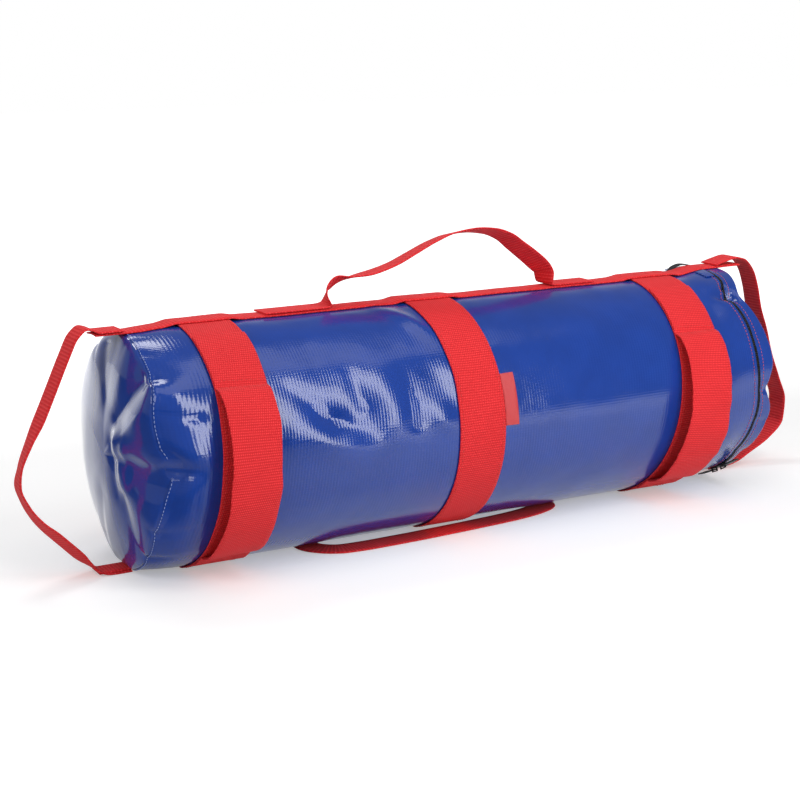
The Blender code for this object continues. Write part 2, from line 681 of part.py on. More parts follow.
def build_lid(vinyl, webbing):
    """The lid: a short gusset past the zip, a round panel whose turned edge makes the rim, and straps."""
    start = ZIP_X + ZIP_EDGE
    gusset = turned_ring("lid_gusset", [(start, INNER_RADIUS), (start, SHELL_RADIUS), (RIM_X, SHELL_RADIUS),
                               (RIM_X, INNER_RADIUS)], vinyl)
    lip = INNER_RADIUS - LAYER_GAP
    inner_lip = lip - SHELL_THICKNESS
    back = LID_PANEL_X + SHELL_THICKNESS
    panel = turned_solid("lid_panel", [(LID_PANEL_X, 0.0), (LID_PANEL_X, lip), (RIM_X, lip),
                                       (RIM_X, inner_lip), (back, inner_lip), (back, 0.0)], vinyl)
    top = long_strap("lid_strap_top", [ZIP_X + ZIP_GAP, RIM_X, RIM_X + LOOP_STUB], [], 0.0, webbing)
    bottom = long_strap("lid_strap_bottom", [ZIP_X + SLIDER_WIDTH, RIM_X, RIM_X + LOOP_STUB], [], 180.0,
                        webbing)
    return [gusset, panel, top, bottom]


def sand_bag_outline(start, neck, radius, offset):
    """The (x, radius) outline of a sand bag from its base to its neck, drawn in by offset."""
    corner = SAND_BAG_CORNER - offset
    side = radius - offset
    outline = [(start + offset, 0.0)]
    outline += [(start + offset + corner * along, side - corner * inward)
                for inward, along in ROUND_CORNER_SHARES]
    outline.append((neck - SAND_BAG_SHOULDER - offset, side))
    outline.append((neck - offset, SAND_BAG_NECK_RADIUS - offset))
    return outline


def build_sand_bags(canvas, sand, cord):
    """The sand bags that fill the tube, each a tied skin with its load of sand."""
    first = SEAM_X + END_HEM + SAND_BAG_SPACING
    last = ZIP_X - SAND_BAG_END_ROOM
    pitch = (last - first + SAND_BAG_SPACING) / SAND_BAG_COUNT
    radius = INNER_RADIUS - SAND_BAG_CLEARANCE
    for index in range(SAND_BAG_COUNT):
        start = first + pitch * index
        end = start + pitch - SAND_BAG_SPACING
        neck_end = end - SAND_BAG_MOUTH_LENGTH
        neck = neck_end - SAND_BAG_NECK_LENGTH
        name = "sand_bag_" + str(index + 1)
        wall = SAND_BAG_WALL
        outer = sand_bag_outline(start, neck, radius, 0.0)
        outer += [(neck_end, SAND_BAG_NECK_RADIUS), (end, SAND_BAG_MOUTH_RADIUS)]
        inner = sand_bag_outline(start, neck, radius, wall)
        inner += [(neck_end, SAND_BAG_NECK_RADIUS - wall), (end, SAND_BAG_MOUTH_RADIUS - wall)]
        turned_solid(name + "_skin", outer + list(reversed(inner)), canvas, SAND_BAG_SEGMENTS)
        load = sand_bag_outline(start, neck, radius, wall + SAND_CLEARANCE)
        turned_solid(name + "_sand", load + [(load[-1][0], 0.0)], sand, SAND_BAG_SEGMENTS)
        low = SAND_BAG_NECK_RADIUS + LAYER_GAP
        high = low + SAND_BAG_TIE_THICKNESS
        middle = (neck + neck_end) / 2
        half = SAND_BAG_TIE_WIDTH / 2
        turned_ring(name + "_tie", [(middle - half, low), (middle + half, low), (middle + half, high),
                                    (middle - half, high)], cord, SAND_BAG_SEGMENTS)


def build():
    """Makes the whole bag."""
    vinyl = plain_material("blue_vinyl", (0.03, 0.07, 0.36), 0.30)
    webbing = plain_material("red_webbing", (0.75, 0.02, 0.025), 0.80)
    satin = plain_material("red_satin", (0.80, 0.05, 0.05), 0.45)
    black = plain_material("black_tape", (0.012, 0.012, 0.014), 0.60)
    metal = plain_material("black_metal", (0.02, 0.02, 0.02), 0.35, 0.8)
    canvas = plain_material("grey_canvas", (0.25, 0.25, 0.24), 0.85)
    sand = plain_material("sand", (0.55, 0.43, 0.27), 0.95)
    cord = plain_material("white_cord", (0.75, 0.75, 0.72), 0.80)
    build_shell(vinyl)
    build_bands(webbing, satin)
    build_band_handles(webbing)
    build_long_webbing(webbing)
    build_top_handle(webbing)
    build_bottom_handle(webbing)
    (left_loop, left_pivot), (right_loop, right_pivot) = build_end_loops(webbing)
    body_tape, lid_tape = build_zip(black, vinyl)
    lid = build_lid(vinyl, webbing)
    for side, angle, way in (("front", FRONT_SLIDER_ANGLE, 1), ("back", BACK_SLIDER_ANGLE, -1)):
        crown = build_slider("zip_slider_" + side, angle, metal)
        build_pull("zip_pull_" + side, angle, crown, way, metal)
    hinged("left_loop_pivot", left_pivot, [left_loop])
    hinged("right_loop_pivot", right_pivot, [right_loop])
    strap_top = settled(Vector((ZIP_X, 0, SHELL_RADIUS + WEBBING_STEP)))
    hinged("lid_hinge", strap_top, lid + [lid_tape])
    build_sand_bags(canvas, sand, cord)


for leftover in list(bpy.data.objects):
    bpy.data.objects.remove(leftover)
build()
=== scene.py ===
"""Dresses the solids of a weighted training bag: coated fabric, webbing, zip, thread and sand bags.

The bag lies along X with its zipped lid at +X, and rests on the floor. A place on the bag is given
by its x, by its angle from the top through the front, in degrees, and by its height over the fabric.
"""
import json
from math import cos, pi, radians, sin

import bmesh
import bpy
import numpy as np
from mathutils import Matrix, Vector, noise


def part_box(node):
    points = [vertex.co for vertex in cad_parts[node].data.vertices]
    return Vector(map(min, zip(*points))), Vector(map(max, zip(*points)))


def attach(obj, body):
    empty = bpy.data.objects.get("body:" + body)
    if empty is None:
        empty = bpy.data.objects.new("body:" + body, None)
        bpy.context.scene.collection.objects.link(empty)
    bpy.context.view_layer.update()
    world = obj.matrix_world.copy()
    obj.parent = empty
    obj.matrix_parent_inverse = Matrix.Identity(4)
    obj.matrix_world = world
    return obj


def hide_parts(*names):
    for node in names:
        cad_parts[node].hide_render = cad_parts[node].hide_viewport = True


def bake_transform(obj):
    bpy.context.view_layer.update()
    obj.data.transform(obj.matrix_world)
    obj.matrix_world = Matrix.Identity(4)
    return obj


bl_info = {
    "name": "Weighted Bag",
    "version": (1, 0, 0),
    "blender": (4, 5, 0),
    "location": "View3D > Sidebar > Weighted Bag",
    "description": "Dresses the solids of a weighted training bag in coated fabric, webbing, zip and thread",
    "category": "Object",
}

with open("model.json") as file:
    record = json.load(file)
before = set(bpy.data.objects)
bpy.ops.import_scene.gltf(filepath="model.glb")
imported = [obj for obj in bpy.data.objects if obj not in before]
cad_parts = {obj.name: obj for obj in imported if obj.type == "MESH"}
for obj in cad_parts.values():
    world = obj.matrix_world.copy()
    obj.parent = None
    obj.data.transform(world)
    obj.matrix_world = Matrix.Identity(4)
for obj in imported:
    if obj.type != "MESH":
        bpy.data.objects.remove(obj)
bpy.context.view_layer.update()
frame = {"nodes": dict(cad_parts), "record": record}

# Places read from the solids
BAND_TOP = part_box("middle_band")[1]
AXIS_HEIGHT = BAND_TOP.z - BAND_TOP.y
TUBE_LOW, TUBE_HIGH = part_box("body_tube")
TUBE_RADIUS = TUBE_HIGH.y
TUBE_TOP = AXIS_HEIGHT + TUBE_RADIUS
SEAM_X = TUBE_LOW.x
ZIP_X = (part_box("zip_tape_body")[1].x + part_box("zip_tape_lid")[0].x) / 2
RIM_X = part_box("lid_gusset")[1].x
LID_PANEL_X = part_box("lid_panel")[0].x
LEFT_STUB_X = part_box("top_webbing")[0].x
RIGHT_STUB_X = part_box("lid_strap_top")[1].x
LEFT_PIVOT_X = LEFT_STUB_X + (SEAM_X - LEFT_STUB_X) / 2
RIGHT_PIVOT_X = (RIM_X + RIGHT_STUB_X) / 2
LEFT_REACH = LEFT_PIVOT_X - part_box("left_loop_strap")[0].x
RIGHT_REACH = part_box("right_loop_strap")[1].x - RIGHT_PIVOT_X
HANDLE_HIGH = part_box("top_handle_strap")[1]
HANDLE_FOOT_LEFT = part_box("top_handle_foot_left")
HANDLE_FOOT_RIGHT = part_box("top_handle_foot_right")
UNDER_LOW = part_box("bottom_handle_strap")[0]
UNDER_FOOT_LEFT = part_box("bottom_handle_foot_left")
UNDER_FOOT_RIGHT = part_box("bottom_handle_foot_right")
HINGE_PLACES = {joint["name"]: Vector(joint["pos_m"]) for joint in frame["record"]["behaviour"]["joints"]}

# Cloth and webbing sizes
FABRIC_THICKNESS = 0.0009
ZIP_OPENING = 0.0017
WIDE_WEBBING = 0.050
NARROW_WEBBING = 0.025
WEBBING_THICKNESS = 0.0016
LAYER_GAP = 0.0003
WEBBING_STEP = WEBBING_THICKNESS + LAYER_GAP
SIDEWAYS = (0.0, 1.0, 0.0)
BAND_PLACES = {"left_band": -0.2375, "middle_band": 0.0, "right_band": 0.2565}

# Length over which the tube's fabric turns in at its seam, and how far it goes in
HEM_LENGTH = 0.0016
HEM_DEPTH = 0.0008

# The shape of the filled bag, as its solids have it
SAG = 0.0040
SAG_RADIUS = 0.100
LEFT_DRAW_LENGTH = 0.040
LEFT_DRAW_SHARE = 0.020
LEFT_PINCH_SHARE = 0.130
RIGHT_DRAW_LENGTH = 0.045
RIGHT_DRAW_SHARE = 0.015
RIGHT_LIFT = 0.0060
LEFT_LEAN = 0.0060
RIGHT_LEAN = 0.0110
LEAN_START = 0.050
LEAN_LENGTH = 0.150
END_BULGE = 0.020

# How fast the seam's pinch fades along the bag, and the relief and the waves towards its axis
PINCH_FADE = 6
RELIEF_FADE = 10
WAVE_FADE = 1.4

# Steps of the meshes, and the angle from which an edge is sharp
ROUND_STEPS = 240
ROUTE_STEPS = 16
LOOP_STEPS = 220
GRIP_STEPS = 160
SHARP_ANGLE = radians(50.0)

# Band grips
GRIP_TOP_ANGLE = 22.0
GRIP_OPEN_ANGLE = 54.0
GRIP_CLOSE_ANGLE = 139.0
GRIP_BOTTOM_ANGLE = 150.0
GRIP_STANDOFF = 0.016

# Long straps, end loops and label
LAP_RAMP = 0.014
STRAP_STEP = 0.0025
LOOP_TAIL = 0.012
LABEL_ANGLE = 75.0
LABEL_LENGTH = 0.048

# Zip and sliders
TAPE_THICKNESS = 0.0008
TAPE_RADIUS = TUBE_RADIUS - FABRIC_THICKNESS - LAYER_GAP - TAPE_THICKNESS
TAPE_START = 9.0
TAB_START = 8.0
TOOTH_SIDE = 0.0010
TOOTH_PITCH = 0.0019
TOOTH_SIZE = 0.0015
SLIDER_WIDTH = 0.0082
SLIDER_PLATE = 0.0012
PULL_LENGTH = 0.024

# Radius of the cord that ties a sand bag
CORD = 0.0011

# How far the seam, the zip and the lid's rim wander along the bag, in rows of angle and share of it
SEAM_WAVE = 0.0110
SEAM_WAVE_LENGTH = 0.045
SEAM_WAVE_SHARES = (
    (-180, -0.3), (-120, -0.1), (-60, -0.5), (0, 0.1), (30, -0.1), (42, -0.15), (50, -0.5),
    (61, -1), (77, -0.8), (89, 0.6), (100, -0.2), (120, -0.75), (140, -0.6), (180, -0.3))
ZIP_WAVE = 0.0060
ZIP_WAVE_LENGTH = 0.050
ZIP_WAVE_SHARES = (
    (-180, 0), (-90, -0.4), (-30, 0.4), (0, 0.7), (21, 0.7), (36, -1), (54, -0.2), (86, 0.2),
    (104, 0.6), (128, 0), (156, 0.4), (180, 0))
RIM_WAVE = 0.0100
RIM_WAVE_SHARES = (
    (-180, -0.3), (-130, 0), (-95, -0.3), (-60, 0.1), (-25, 0), (0, 0.5), (14, 0.7),
    (27, -0.2), (36, -1.1), (47, -0.5), (64, 0.1), (79, 0.3), (92, -0.8), (104, 0.4),
    (118, 0.1), (129, -0.2), (140, -0.8), (180, -0.3))

# Swells of the fabric: x, angle, height, length along, length round, slant
SWELLS = (
    (-0.305, 54, 0.0072, 0.0265, 0.016, 0), (-0.298, 81, 0.006, 0.0235, 0.017, 0),
    (-0.306, 56.5, 0.006, 0.009, 0.013, 0), (-0.284, 108, 0.0034, 0.016, 0.018, 0),
    (-0.28, 133, 0.002, 0.014, 0.013, 0), (-0.158, 84, 0.0046, 0.026, 0.016, 1.5),
    (-0.092, 72, 0.0034, 0.014, 0.028, 0.15), (-0.04, 80, 0.0026, 0.01, 0.012, 0.3),
    (-0.021, 61, 0.003, 0.009, 0.018, 0.2), (-0.04, 26, 0.003, 0.007, 0.02, 0.45),
    (-0.12, 110, 0.0016, 0.04, 0.012, 0.2), (0.11, 40, 0.0012, 0.06, 0.03, 0),
    (0.305, 24, 0.0026, 0.014, 0.014, 0), (0.305, 58, 0.0024, 0.016, 0.018, 0),
    (0.304, 112, 0.0016, 0.016, 0.02, 0), (0.15, -60, 0.002, 0.05, 0.03, 0.3),
    (-0.12, -50, 0.0026, 0.04, 0.024, -0.4), (-0.04, -95, 0.0018, 0.03, 0.02, 0.3),
    (-0.28, -70, 0.0044, 0.013, 0.02, 0), (-0.282, -112, 0.0038, 0.013, 0.02, 0),
    (0.304, -80, 0.0024, 0.016, 0.022, 0), (0.07, -110, 0.0018, 0.04, 0.022, 0.2))
# Creases of the fabric, which fade towards their second end: x, angle, x, angle, depth, width
CREASES = (
    (-0.15, 74, -0.196, 56, 0.0034, 0.009), (-0.158, 72, -0.116, 82, 0.0034, 0.008),
    (-0.122, 70, -0.13, 48, 0.0018, 0.007), (-0.07, 80, -0.072, 54, 0.002, 0.007),
    (-0.277, 65, -0.304, 62, 0.0028, 0.004), (-0.306, 46.5, -0.297, 46.2, 0.005, 0.0036),
    (-0.308, 88, -0.286, 89, 0.008, 0.0062), (-0.305, 78, -0.29, 87, 0.004, 0.0034),
    (-0.3, 88, -0.276, 90, 0.0046, 0.008), (-0.306, 121, -0.288, 120, 0.003, 0.004),
    (-0.306, 142, -0.288, 138, 0.0034, 0.0044), (-0.306, 28, -0.296, 29, 0.0008, 0.005),
    (-0.306, 12, -0.29, 14, 0.0012, 0.006), (-0.29, 104, -0.27, 112, 0.0008, 0.0026),
    (-0.294, 118, -0.27, 116, 0.0008, 0.0024), (-0.284, 100, -0.28, 124, 0.0009, 0.0026),
    (0.332, 28, 0.337, 36, 0.005, 0.0044), (0.34, 36, 0.306, 33, 0.0094, 0.006),
    (0.35, 92, 0.332, 92, 0.004, 0.005), (0.35, 136, 0.32, 130, 0.002, 0.009),
    (0.348, 64, 0.336, 63, 0.0016, 0.004), (0.348, 112, 0.33, 111, 0.002, 0.004),
    (-0.306, -30, -0.284, -34, 0.005, 0.005), (-0.306, -92, -0.28, -90, 0.0064, 0.006),
    (-0.306, -60, -0.292, -58, 0.0026, 0.004), (-0.306, -140, -0.286, -138, 0.0044, 0.005),
    (0.35, -50, 0.312, -46, 0.0046, 0.006), (0.35, -110, 0.312, -116, 0.0042, 0.006),
    (-0.18, -80, -0.11, -66, 0.0012, 0.006), (0.06, -70, 0.14, -84, 0.0012, 0.006))
# Creases of the round panels: y, height, y, height, depth, width; one with a negative depth is a ridge
LID_CREASES = (
    (-0.04, 0.098, -0.012, 0.03, 0.003, 0.009), (-0.1, 0, -0.036, 0.006, 0.0026, 0.009),
    (0.096, 0.03, 0.04, 0.012, 0.0024, 0.011), (0.06, -0.08, 0.022, -0.026, 0.0026, 0.01),
    (-0.066, -0.076, -0.03, -0.036, 0.0022, 0.009), (0.04, 0.092, 0.02, 0.04, -0.002, 0.012),
    (-0.08, 0.056, -0.04, 0.03, -0.0018, 0.012), (0, -0.1, 0, -0.04, -0.0018, 0.012))
END_CREASES = (
    (-0.098, 0.002, -0.05, 0.014, -0.0036, 0.011), (-0.098, -0.014, -0.052, -0.012, 0.005, 0.011),
    (-0.03, 0.018, -0.036, -0.02, -0.0034, 0.009), (-0.046, 0.01, -0.041, -0.024, -0.002, 0.008),
    (-0.018, 0.012, -0.024, -0.03, 0.0026, 0.008), (-0.06, 0.074, -0.026, 0.036, 0.0024, 0.012),
    (-0.036, -0.03, -0.052, -0.08, 0.0026, 0.011), (0.03, -0.08, 0.01, -0.04, 0.0022, 0.013),
    (0.02, 0.09, 0, 0.05, 0.002, 0.013))
# Slack and crumple of the fabric: height, scale along the bag, scale round it
SLACK = ((0.0006, 22.0, 2.2), (0.00016, 70.0, 7.0))
PANEL_SLACK_HEIGHT = 0.0014
PANEL_SLACK_SCALE = 26.0
BAND_RELIEF_SHARE = 0.75
BAND_FADE = 0.018

# Shares along and above a free strap's route, each row ending in its roll in degrees
TOP_HANDLE_SHARES = (
    (0, 0, -30), (0.004, 0.014, -34), (0.028, 0.036, -36), (0.09, 0.046, -14),
    (0.18, 0.058, -4), (0.28, 0.083, -6), (0.37, 0.12, -8), (0.46, 0.158, -10),
    (0.55, 0.184, -13), (0.645, 0.192, -15), (0.73, 0.183, -17), (0.8, 0.158, -20),
    (0.858, 0.117, -24), (0.912, 0.078, -27), (0.958, 0.042, -28), (0.986, 0.016, -24),
    (0.998, 0, -18))
LEFT_LOOP_SHARES = (
    (0, 1, 0), (0.11, 1, 0), (0.18, 1.012, 0), (0.25, 1.018, 0), (0.35, 0.988, 0),
    (0.46, 0.905, 0), (0.6, 0.785, 0), (0.73, 0.675, 0), (0.86, 0.575, 8), (0.96, 0.48, 12),
    (0.99, 0.41, 6), (0.92, 0.33, 0), (0.8, 0.255, -8), (0.63, 0.185, -16), (0.42, 0.1, -16),
    (0.31, 0.052, -9), (0.2, 0.016, 0), (0.1, 0.002, 0), (0, 0, 0))
RIGHT_LOOP_SHARES = (
    (0, 1.012, 0), (0.16, 1.024, 0), (0.28, 1.014, 0), (0.42, 0.955, 0), (0.5, 0.87, 0), (0.56, 0.77, 0),
    (0.66, 0.66, 0), (0.75, 0.54, 0), (0.88, 0.41, 0), (0.99, 0.29, 0), (0.97, 0.19, 0), (0.78, 0.11, 0),
    (0.5, 0.05, 0), (0.29, 0.01, 0), (0.16, 0, 0), (0, 0, 0))
# The bottom handle: share of its length, share of its reach, share of a quarter turn
UNDER_HANDLE_SHARES = (
    (0, 0, 0), (0, 0.36, 0), (0.03, 0.72, 0.33), (0.1, 0.96, 0.75), (0.2, 1, 1), (0.35, 0.98, 1),
    (0.5, 0.93, 1), (0.65, 0.86, 1), (0.8, 0.77, 1), (0.91, 0.62, 1.27), (0.985, 0.36, 1.75), (1, 0, 2))

# Lamps: name, azimuth, elevation, distance, width, height, power
LAMPS = (
    ("key", 19.8, 30.0, 1.45, 0.37, 1.70, 12.8),
    ("fill", -62.0, 34.0, 2.6, 1.2, 1.2, 15.0),
    ("top", 20.0, 78.0, 2.2, 2.0, 1.2, 8.0),
    ("back", -172.0, 60.0, 1.9, 0.8, 0.6, 8.0))
CAMERA_PLACE = (-0.8777, -1.432, 0.5006)
CAMERA_AZIMUTH = -30.82
CAMERA_ELEVATION = 12.82
CAMERA_LENS = 80.39


def smooth_step(share):
    """0 below 0, 1 above 1, and an even S between; works on arrays."""
    share = np.clip(share, 0.0, 1.0)
    return share * share * (3.0 - 2.0 * share)


def wandering(angle, shares, size):
    """A size that follows a table of (angle, share) rows round the bag."""
    angles = [row[0] for row in shares]
    values = [row[1] for row in shares]
    fine = np.arange(-180.0, 181.0, 3.0)
    rough = np.interp(fine, angles, values)
    joined = np.concatenate([rough[-3:-1], rough, rough[1:3]])
    soft = np.convolve(joined, (0.1, 0.2, 0.4, 0.2, 0.1), "valid")
    turned = (np.asarray(angle) + 180.0) % 360.0 - 180.0
    return np.interp(turned, fine, soft) * size


def segment_distance(u, v, first, last):
    """Distance from points to a straight stretch, and the share of the way along it."""
    run = (last[0] - first[0], last[1] - first[1])
    share = ((u - first[0]) * run[0] + (v - first[1]) * run[1]) / (run[0] ** 2 + run[1] ** 2)
    share = np.clip(share, 0.0, 1.0)
    return np.hypot(u - first[0] - share * run[0], v - first[1] - share * run[1]), share


def band_distance(x):
    """How far a place along the bag is past the edge of the nearest band, below 0 under a band."""
    return np.min([np.abs(x - middle) for middle in BAND_PLACES.values()], axis=0) - WIDE_WEBBING / 2


def relief(x, angle):
    """How far the fabric stands out of the plain filled bag, in its swells and creases."""
    round_way = np.radians((angle + 180.0) % 360.0 - 180.0) * TUBE_RADIUS
    height = np.zeros_like(x)
    for middle, turn, rise, length, span, slant in SWELLS:
        beside = round_way - radians(turn) * TUBE_RADIUS
        ahead = x - middle - slant * beside
        height += rise * np.exp(-0.5 * ((ahead / length) ** 2 + (beside / span) ** 2))
    for x0, turn0, x1, turn1, depth, width in CREASES:
        first = (x0, radians(turn0) * TUBE_RADIUS)
        last = (x1, radians(turn1) * TUBE_RADIUS)
        away, share = segment_distance(x, round_way, first, last)
        height -= depth * (1.0 - 0.8 * share) * np.exp(-(away / width) ** 1.4)
    rough = []
    for place, turn in zip(x.ravel().tolist(), angle.ravel().tolist()):
        up, front = cos(radians(turn)), sin(radians(turn))
        rough.append(sum(most * noise.noise(Vector((place * along, front * around, up * around)))
                         for most, along, around in SLACK))
    height += np.array(rough).reshape(x.shape)
    held = 1.0 - smooth_step(band_distance(x) / BAND_FADE)
    return height * (1.0 - (1.0 - BAND_RELIEF_SHARE) * held)


def on_bag(x, angle, out):
    """Points of the filled bag at x, at an angle round it and at a height over its fabric."""
    x, angle, out = (np.asarray(part, float) for part in np.broadcast_arrays(x, angle, out))
    radius = TUBE_RADIUS + out
    seam = smooth_step((SEAM_X + LEFT_DRAW_LENGTH - x) / LEFT_DRAW_LENGTH)
    end = smooth_step((x - ZIP_X + RIGHT_DRAW_LENGTH) / RIGHT_DRAW_LENGTH)
    share = 1.0 - LEFT_DRAW_SHARE * seam - RIGHT_DRAW_SHARE * end
    along = np.maximum(x, SEAM_X)
    fade = radius / TUBE_RADIUS
    standing = radius * share + relief(along, angle) * fade ** RELIEF_FADE
    turn = np.radians(angle)
    y = -standing * np.sin(turn) * (1.0 - LEFT_PINCH_SHARE * seam ** PINCH_FADE)
    sagged = radius - SAG * smooth_step(radius / SAG_RADIUS)
    floor = -sagged - (radius - sagged) * end
    z = np.maximum(standing * np.cos(turn), floor)
    most = np.where(x > 0, RIGHT_LEAN, LEFT_LEAN)
    lean = most * smooth_step((np.abs(x) - LEAN_START) / LEAN_LENGTH) * (1.0 - end) * (1.0 - seam)
    seam_share = smooth_step((SEAM_X + SEAM_WAVE_LENGTH - x) / SEAM_WAVE_LENGTH)
    zip_share = smooth_step((x - ZIP_X + ZIP_WAVE_LENGTH) / ZIP_WAVE_LENGTH)
    rim_share = smooth_step((x - ZIP_X) / (RIM_X - ZIP_X))
    wave = wandering(angle, SEAM_WAVE_SHARES, SEAM_WAVE) * seam_share
    wave += wandering(angle, ZIP_WAVE_SHARES, ZIP_WAVE) * zip_share * (1.0 - rim_share)
    wave += wandering(angle, RIM_WAVE_SHARES, RIM_WAVE) * rim_share
    shifted = x + lean * standing * np.cos(turn) / TUBE_RADIUS + wave * fade ** WAVE_FADE
    return np.stack([shifted, y, z + AXIS_HEIGHT + RIGHT_LIFT * end], axis=-1)


def panel_relief(creases, way):
    """A bend that pushes a round panel's fabric along X, in creases that run in from its edge."""

    def pushed(points):
        y = points[:, 1]
        z = points[:, 2] - AXIS_HEIGHT
        push = np.zeros_like(y)
        for y0, z0, y1, z1, depth, width in creases:
            away, share = segment_distance(y, z, (y0, z0), (y1, z1))
            push += depth * np.exp(-(away / width) ** 1.6) * (1.0 - 0.5 * share)
        rough = [noise.noise(Vector((a * PANEL_SLACK_SCALE, b * PANEL_SLACK_SCALE, 0.7))) * PANEL_SLACK_HEIGHT
                 for a, b in zip(y.tolist(), z.tolist())]
        inside = smooth_step((TUBE_RADIUS - 0.004 - np.hypot(y, z)) / 0.010)
        points[:, 0] -= way * (push + np.array(rough)) * inside
        return points

    return pushed


def draped(plain):
    """Moves points of a plain round tube about X to the filled bag."""
    angle = np.degrees(np.arctan2(-plain[:, 1], plain[:, 2]))
    out = np.hypot(plain[:, 1], plain[:, 2]) - TUBE_RADIUS
    return on_bag(plain[:, 0], angle, out)


def smooth_route(points):
    """Points on a smooth curve through the given rows of numbers, which never runs past them."""
    runs = np.diff(points, axis=0)
    both = runs[:-1] * runs[1:]
    total = runs[:-1] + runs[1:]
    even = np.where(both > 0, 2.0 * both / np.where(total == 0, 1.0, total), 0.0)
    slopes = np.vstack([runs[:1], even, runs[-1:]])
    t = np.linspace(0.0, 1.0, ROUTE_STEPS, endpoint=False)[None, :, None]
    start, end = points[:-1, None], points[1:, None]
    leaving, arriving = slopes[:-1, None], slopes[1:, None]
    curve = start * (2 * t ** 3 - 3 * t ** 2 + 1) + leaving * (t ** 3 - 2 * t ** 2 + t) \
        + end * (3 * t ** 2 - 2 * t ** 3) + arriving * (t ** 3 - t ** 2)
    return np.vstack([curve.reshape(-1, points.shape[1]), points[-1:]])


class Route:
    """A free strap's centre line, with the way its width points and its length."""

    def __init__(self, points, acrosses):
        laid = smooth_route(np.hstack([points, acrosses]).astype(float))
        self.centres = laid[:, :3]
        runs = np.linalg.norm(np.diff(self.centres, axis=0), axis=1)
        self.steps = np.concatenate([[0.0], np.cumsum(runs)])
        self.length = float(self.steps[-1])
        tangents = np.gradient(self.centres, self.steps, axis=0)
        tangents /= np.linalg.norm(tangents, axis=1)[:, None]
        across = laid[:, 3:] - tangents * np.sum(tangents * laid[:, 3:], axis=1)[:, None]
        self.acrosses = across / np.linalg.norm(across, axis=1)[:, None]
        self.ups = np.cross(tangents, self.acrosses)

    def at(self, table, place):
        """The row of one of the route's tables at a length along it."""
        return np.stack([np.interp(place, self.steps, table[:, axis]) for axis in range(3)], axis=-1)

    def bend(self, flat):
        """Moves points of a flat strap, which lies along X from 0, onto the route."""
        place = np.clip(flat[:, 0], 0.0, self.length)
        return self.at(self.centres, place) + self.at(self.acrosses, place) * flat[:, 1:2] \
            + self.at(self.ups, place) * (flat[:, 2:3] - WEBBING_THICKNESS / 2)


def rolled_route(centres, rolls):
    """A route in a plane of constant Y, whose width lies along Y before it is rolled."""
    acrosses = []
    for tangent, roll in zip(np.gradient(np.array(centres, float), axis=0), rolls):
        turn = Matrix.Rotation(radians(roll), 3, Vector(tangent).normalized())
        acrosses.append(turn @ Vector(SIDEWAYS))
    return Route(centres, acrosses)


def profile(width, thickness, columns):
    """The (across, up) outline of a strap with rounded edges."""
    rounding = thickness * 0.45
    half = width / 2
    outline = []
    for side in (1, -1):
        for column in range(columns + 1):
            across = (half - rounding) * (1 - 2 * column / columns)
            outline.append((side * across, thickness if side > 0 else 0.0))
        for turn in (radians(45.0), radians(90.0)):
            outline.append((-side * (half - rounding + rounding * sin(turn)),
                            thickness / 2 + side * (thickness / 2) * cos(turn)))
    return outline


def strap_blank(length, steps, width=NARROW_WEBBING, thickness=WEBBING_THICKNESS, columns=6):
    """A flat strap along X from 0, extruded from its rounded profile, with its lengths as its UV map."""
    bm = bmesh.new()
    verts = [bm.verts.new((0.0, across, up)) for across, up in profile(width, thickness, columns)]
    edges = [bm.edges.new(pair) for pair in zip(verts, verts[1:] + verts[:1])]
    bm.faces.new(verts)
    made = bmesh.ops.spin(bm, geom=verts + edges, cent=(0, 0, 0), axis=(1, 0, 0),
                          dvec=(length / steps, 0, 0), angle=0.0, steps=steps, use_merge=False)
    last = [item for item in made["geom_last"] if isinstance(item, bmesh.types.BMEdge)]
    bmesh.ops.edgeloop_fill(bm, edges=last)
    bmesh.ops.recalc_face_normals(bm, faces=bm.faces)
    layer = bm.loops.layers.uv.new("cloth")
    for face in bm.faces:
        for loop in face.loops:
            loop[layer].uv = (loop.vert.co.x, loop.vert.co.y)
    return bm


def turned(outline, steps=ROUND_STEPS, closed=True):
    """A bmesh of an (x, radius) outline turned all the way round X."""
    bm = bmesh.new()
    verts = [bm.verts.new((x, 0.0, radius)) for x, radius in outline]
    edges = [bm.edges.new(pair) for pair in zip(verts, verts[1:])]
    if closed:
        edges.append(bm.edges.new((verts[-1], verts[0])))
    bmesh.ops.spin(bm, geom=verts + edges, cent=(0, 0, 0), axis=(1, 0, 0), angle=2 * pi, steps=steps,
                   use_merge=True)
    bmesh.ops.remove_doubles(bm, verts=bm.verts, dist=LAYER_GAP / 10)
    bmesh.ops.recalc_face_normals(bm, faces=bm.faces)
    return bm


def turned_arc(outline, start, end):
    """A bmesh of a closed (x, radius) outline turned from one angle to another, with closed ends."""
    bm = bmesh.new()
    turn = Matrix.Rotation(radians(start), 3, "X")
    verts = [bm.verts.new(turn @ Vector((x, 0.0, radius))) for x, radius in outline]
    face = bm.faces.new(verts)
    bmesh.ops.spin(bm, geom=verts + list(bm.edges) + [face], cent=(0, 0, 0), axis=(1, 0, 0),
                   angle=radians(end - start), steps=ROUND_STEPS)
    bmesh.ops.recalc_face_normals(bm, faces=bm.faces)
    return bm


def plain_angle(point):
    """Angle round the bag of a point of a plain tube about X."""
    return np.degrees(np.arctan2(-point.y, point.z))


def wrap_map(bm):
    """Gives cloth on a plain round tube its unrolled lengths as its UV map, or Y and Z where it faces X."""
    layer = bm.loops.layers.uv.new("cloth")
    for face in bm.faces:
        middle = plain_angle(face.calc_center_median())
        facing = abs(face.normal.x) > 0.7
        for loop in face.loops:
            place = loop.vert.co
            if facing:
                loop[layer].uv = (place.y, place.z)
                continue
            angle = plain_angle(place)
            angle -= 360.0 * round((angle - middle) / 360.0)
            loop[layer].uv = (place.x, radians(angle) * TUBE_RADIUS)


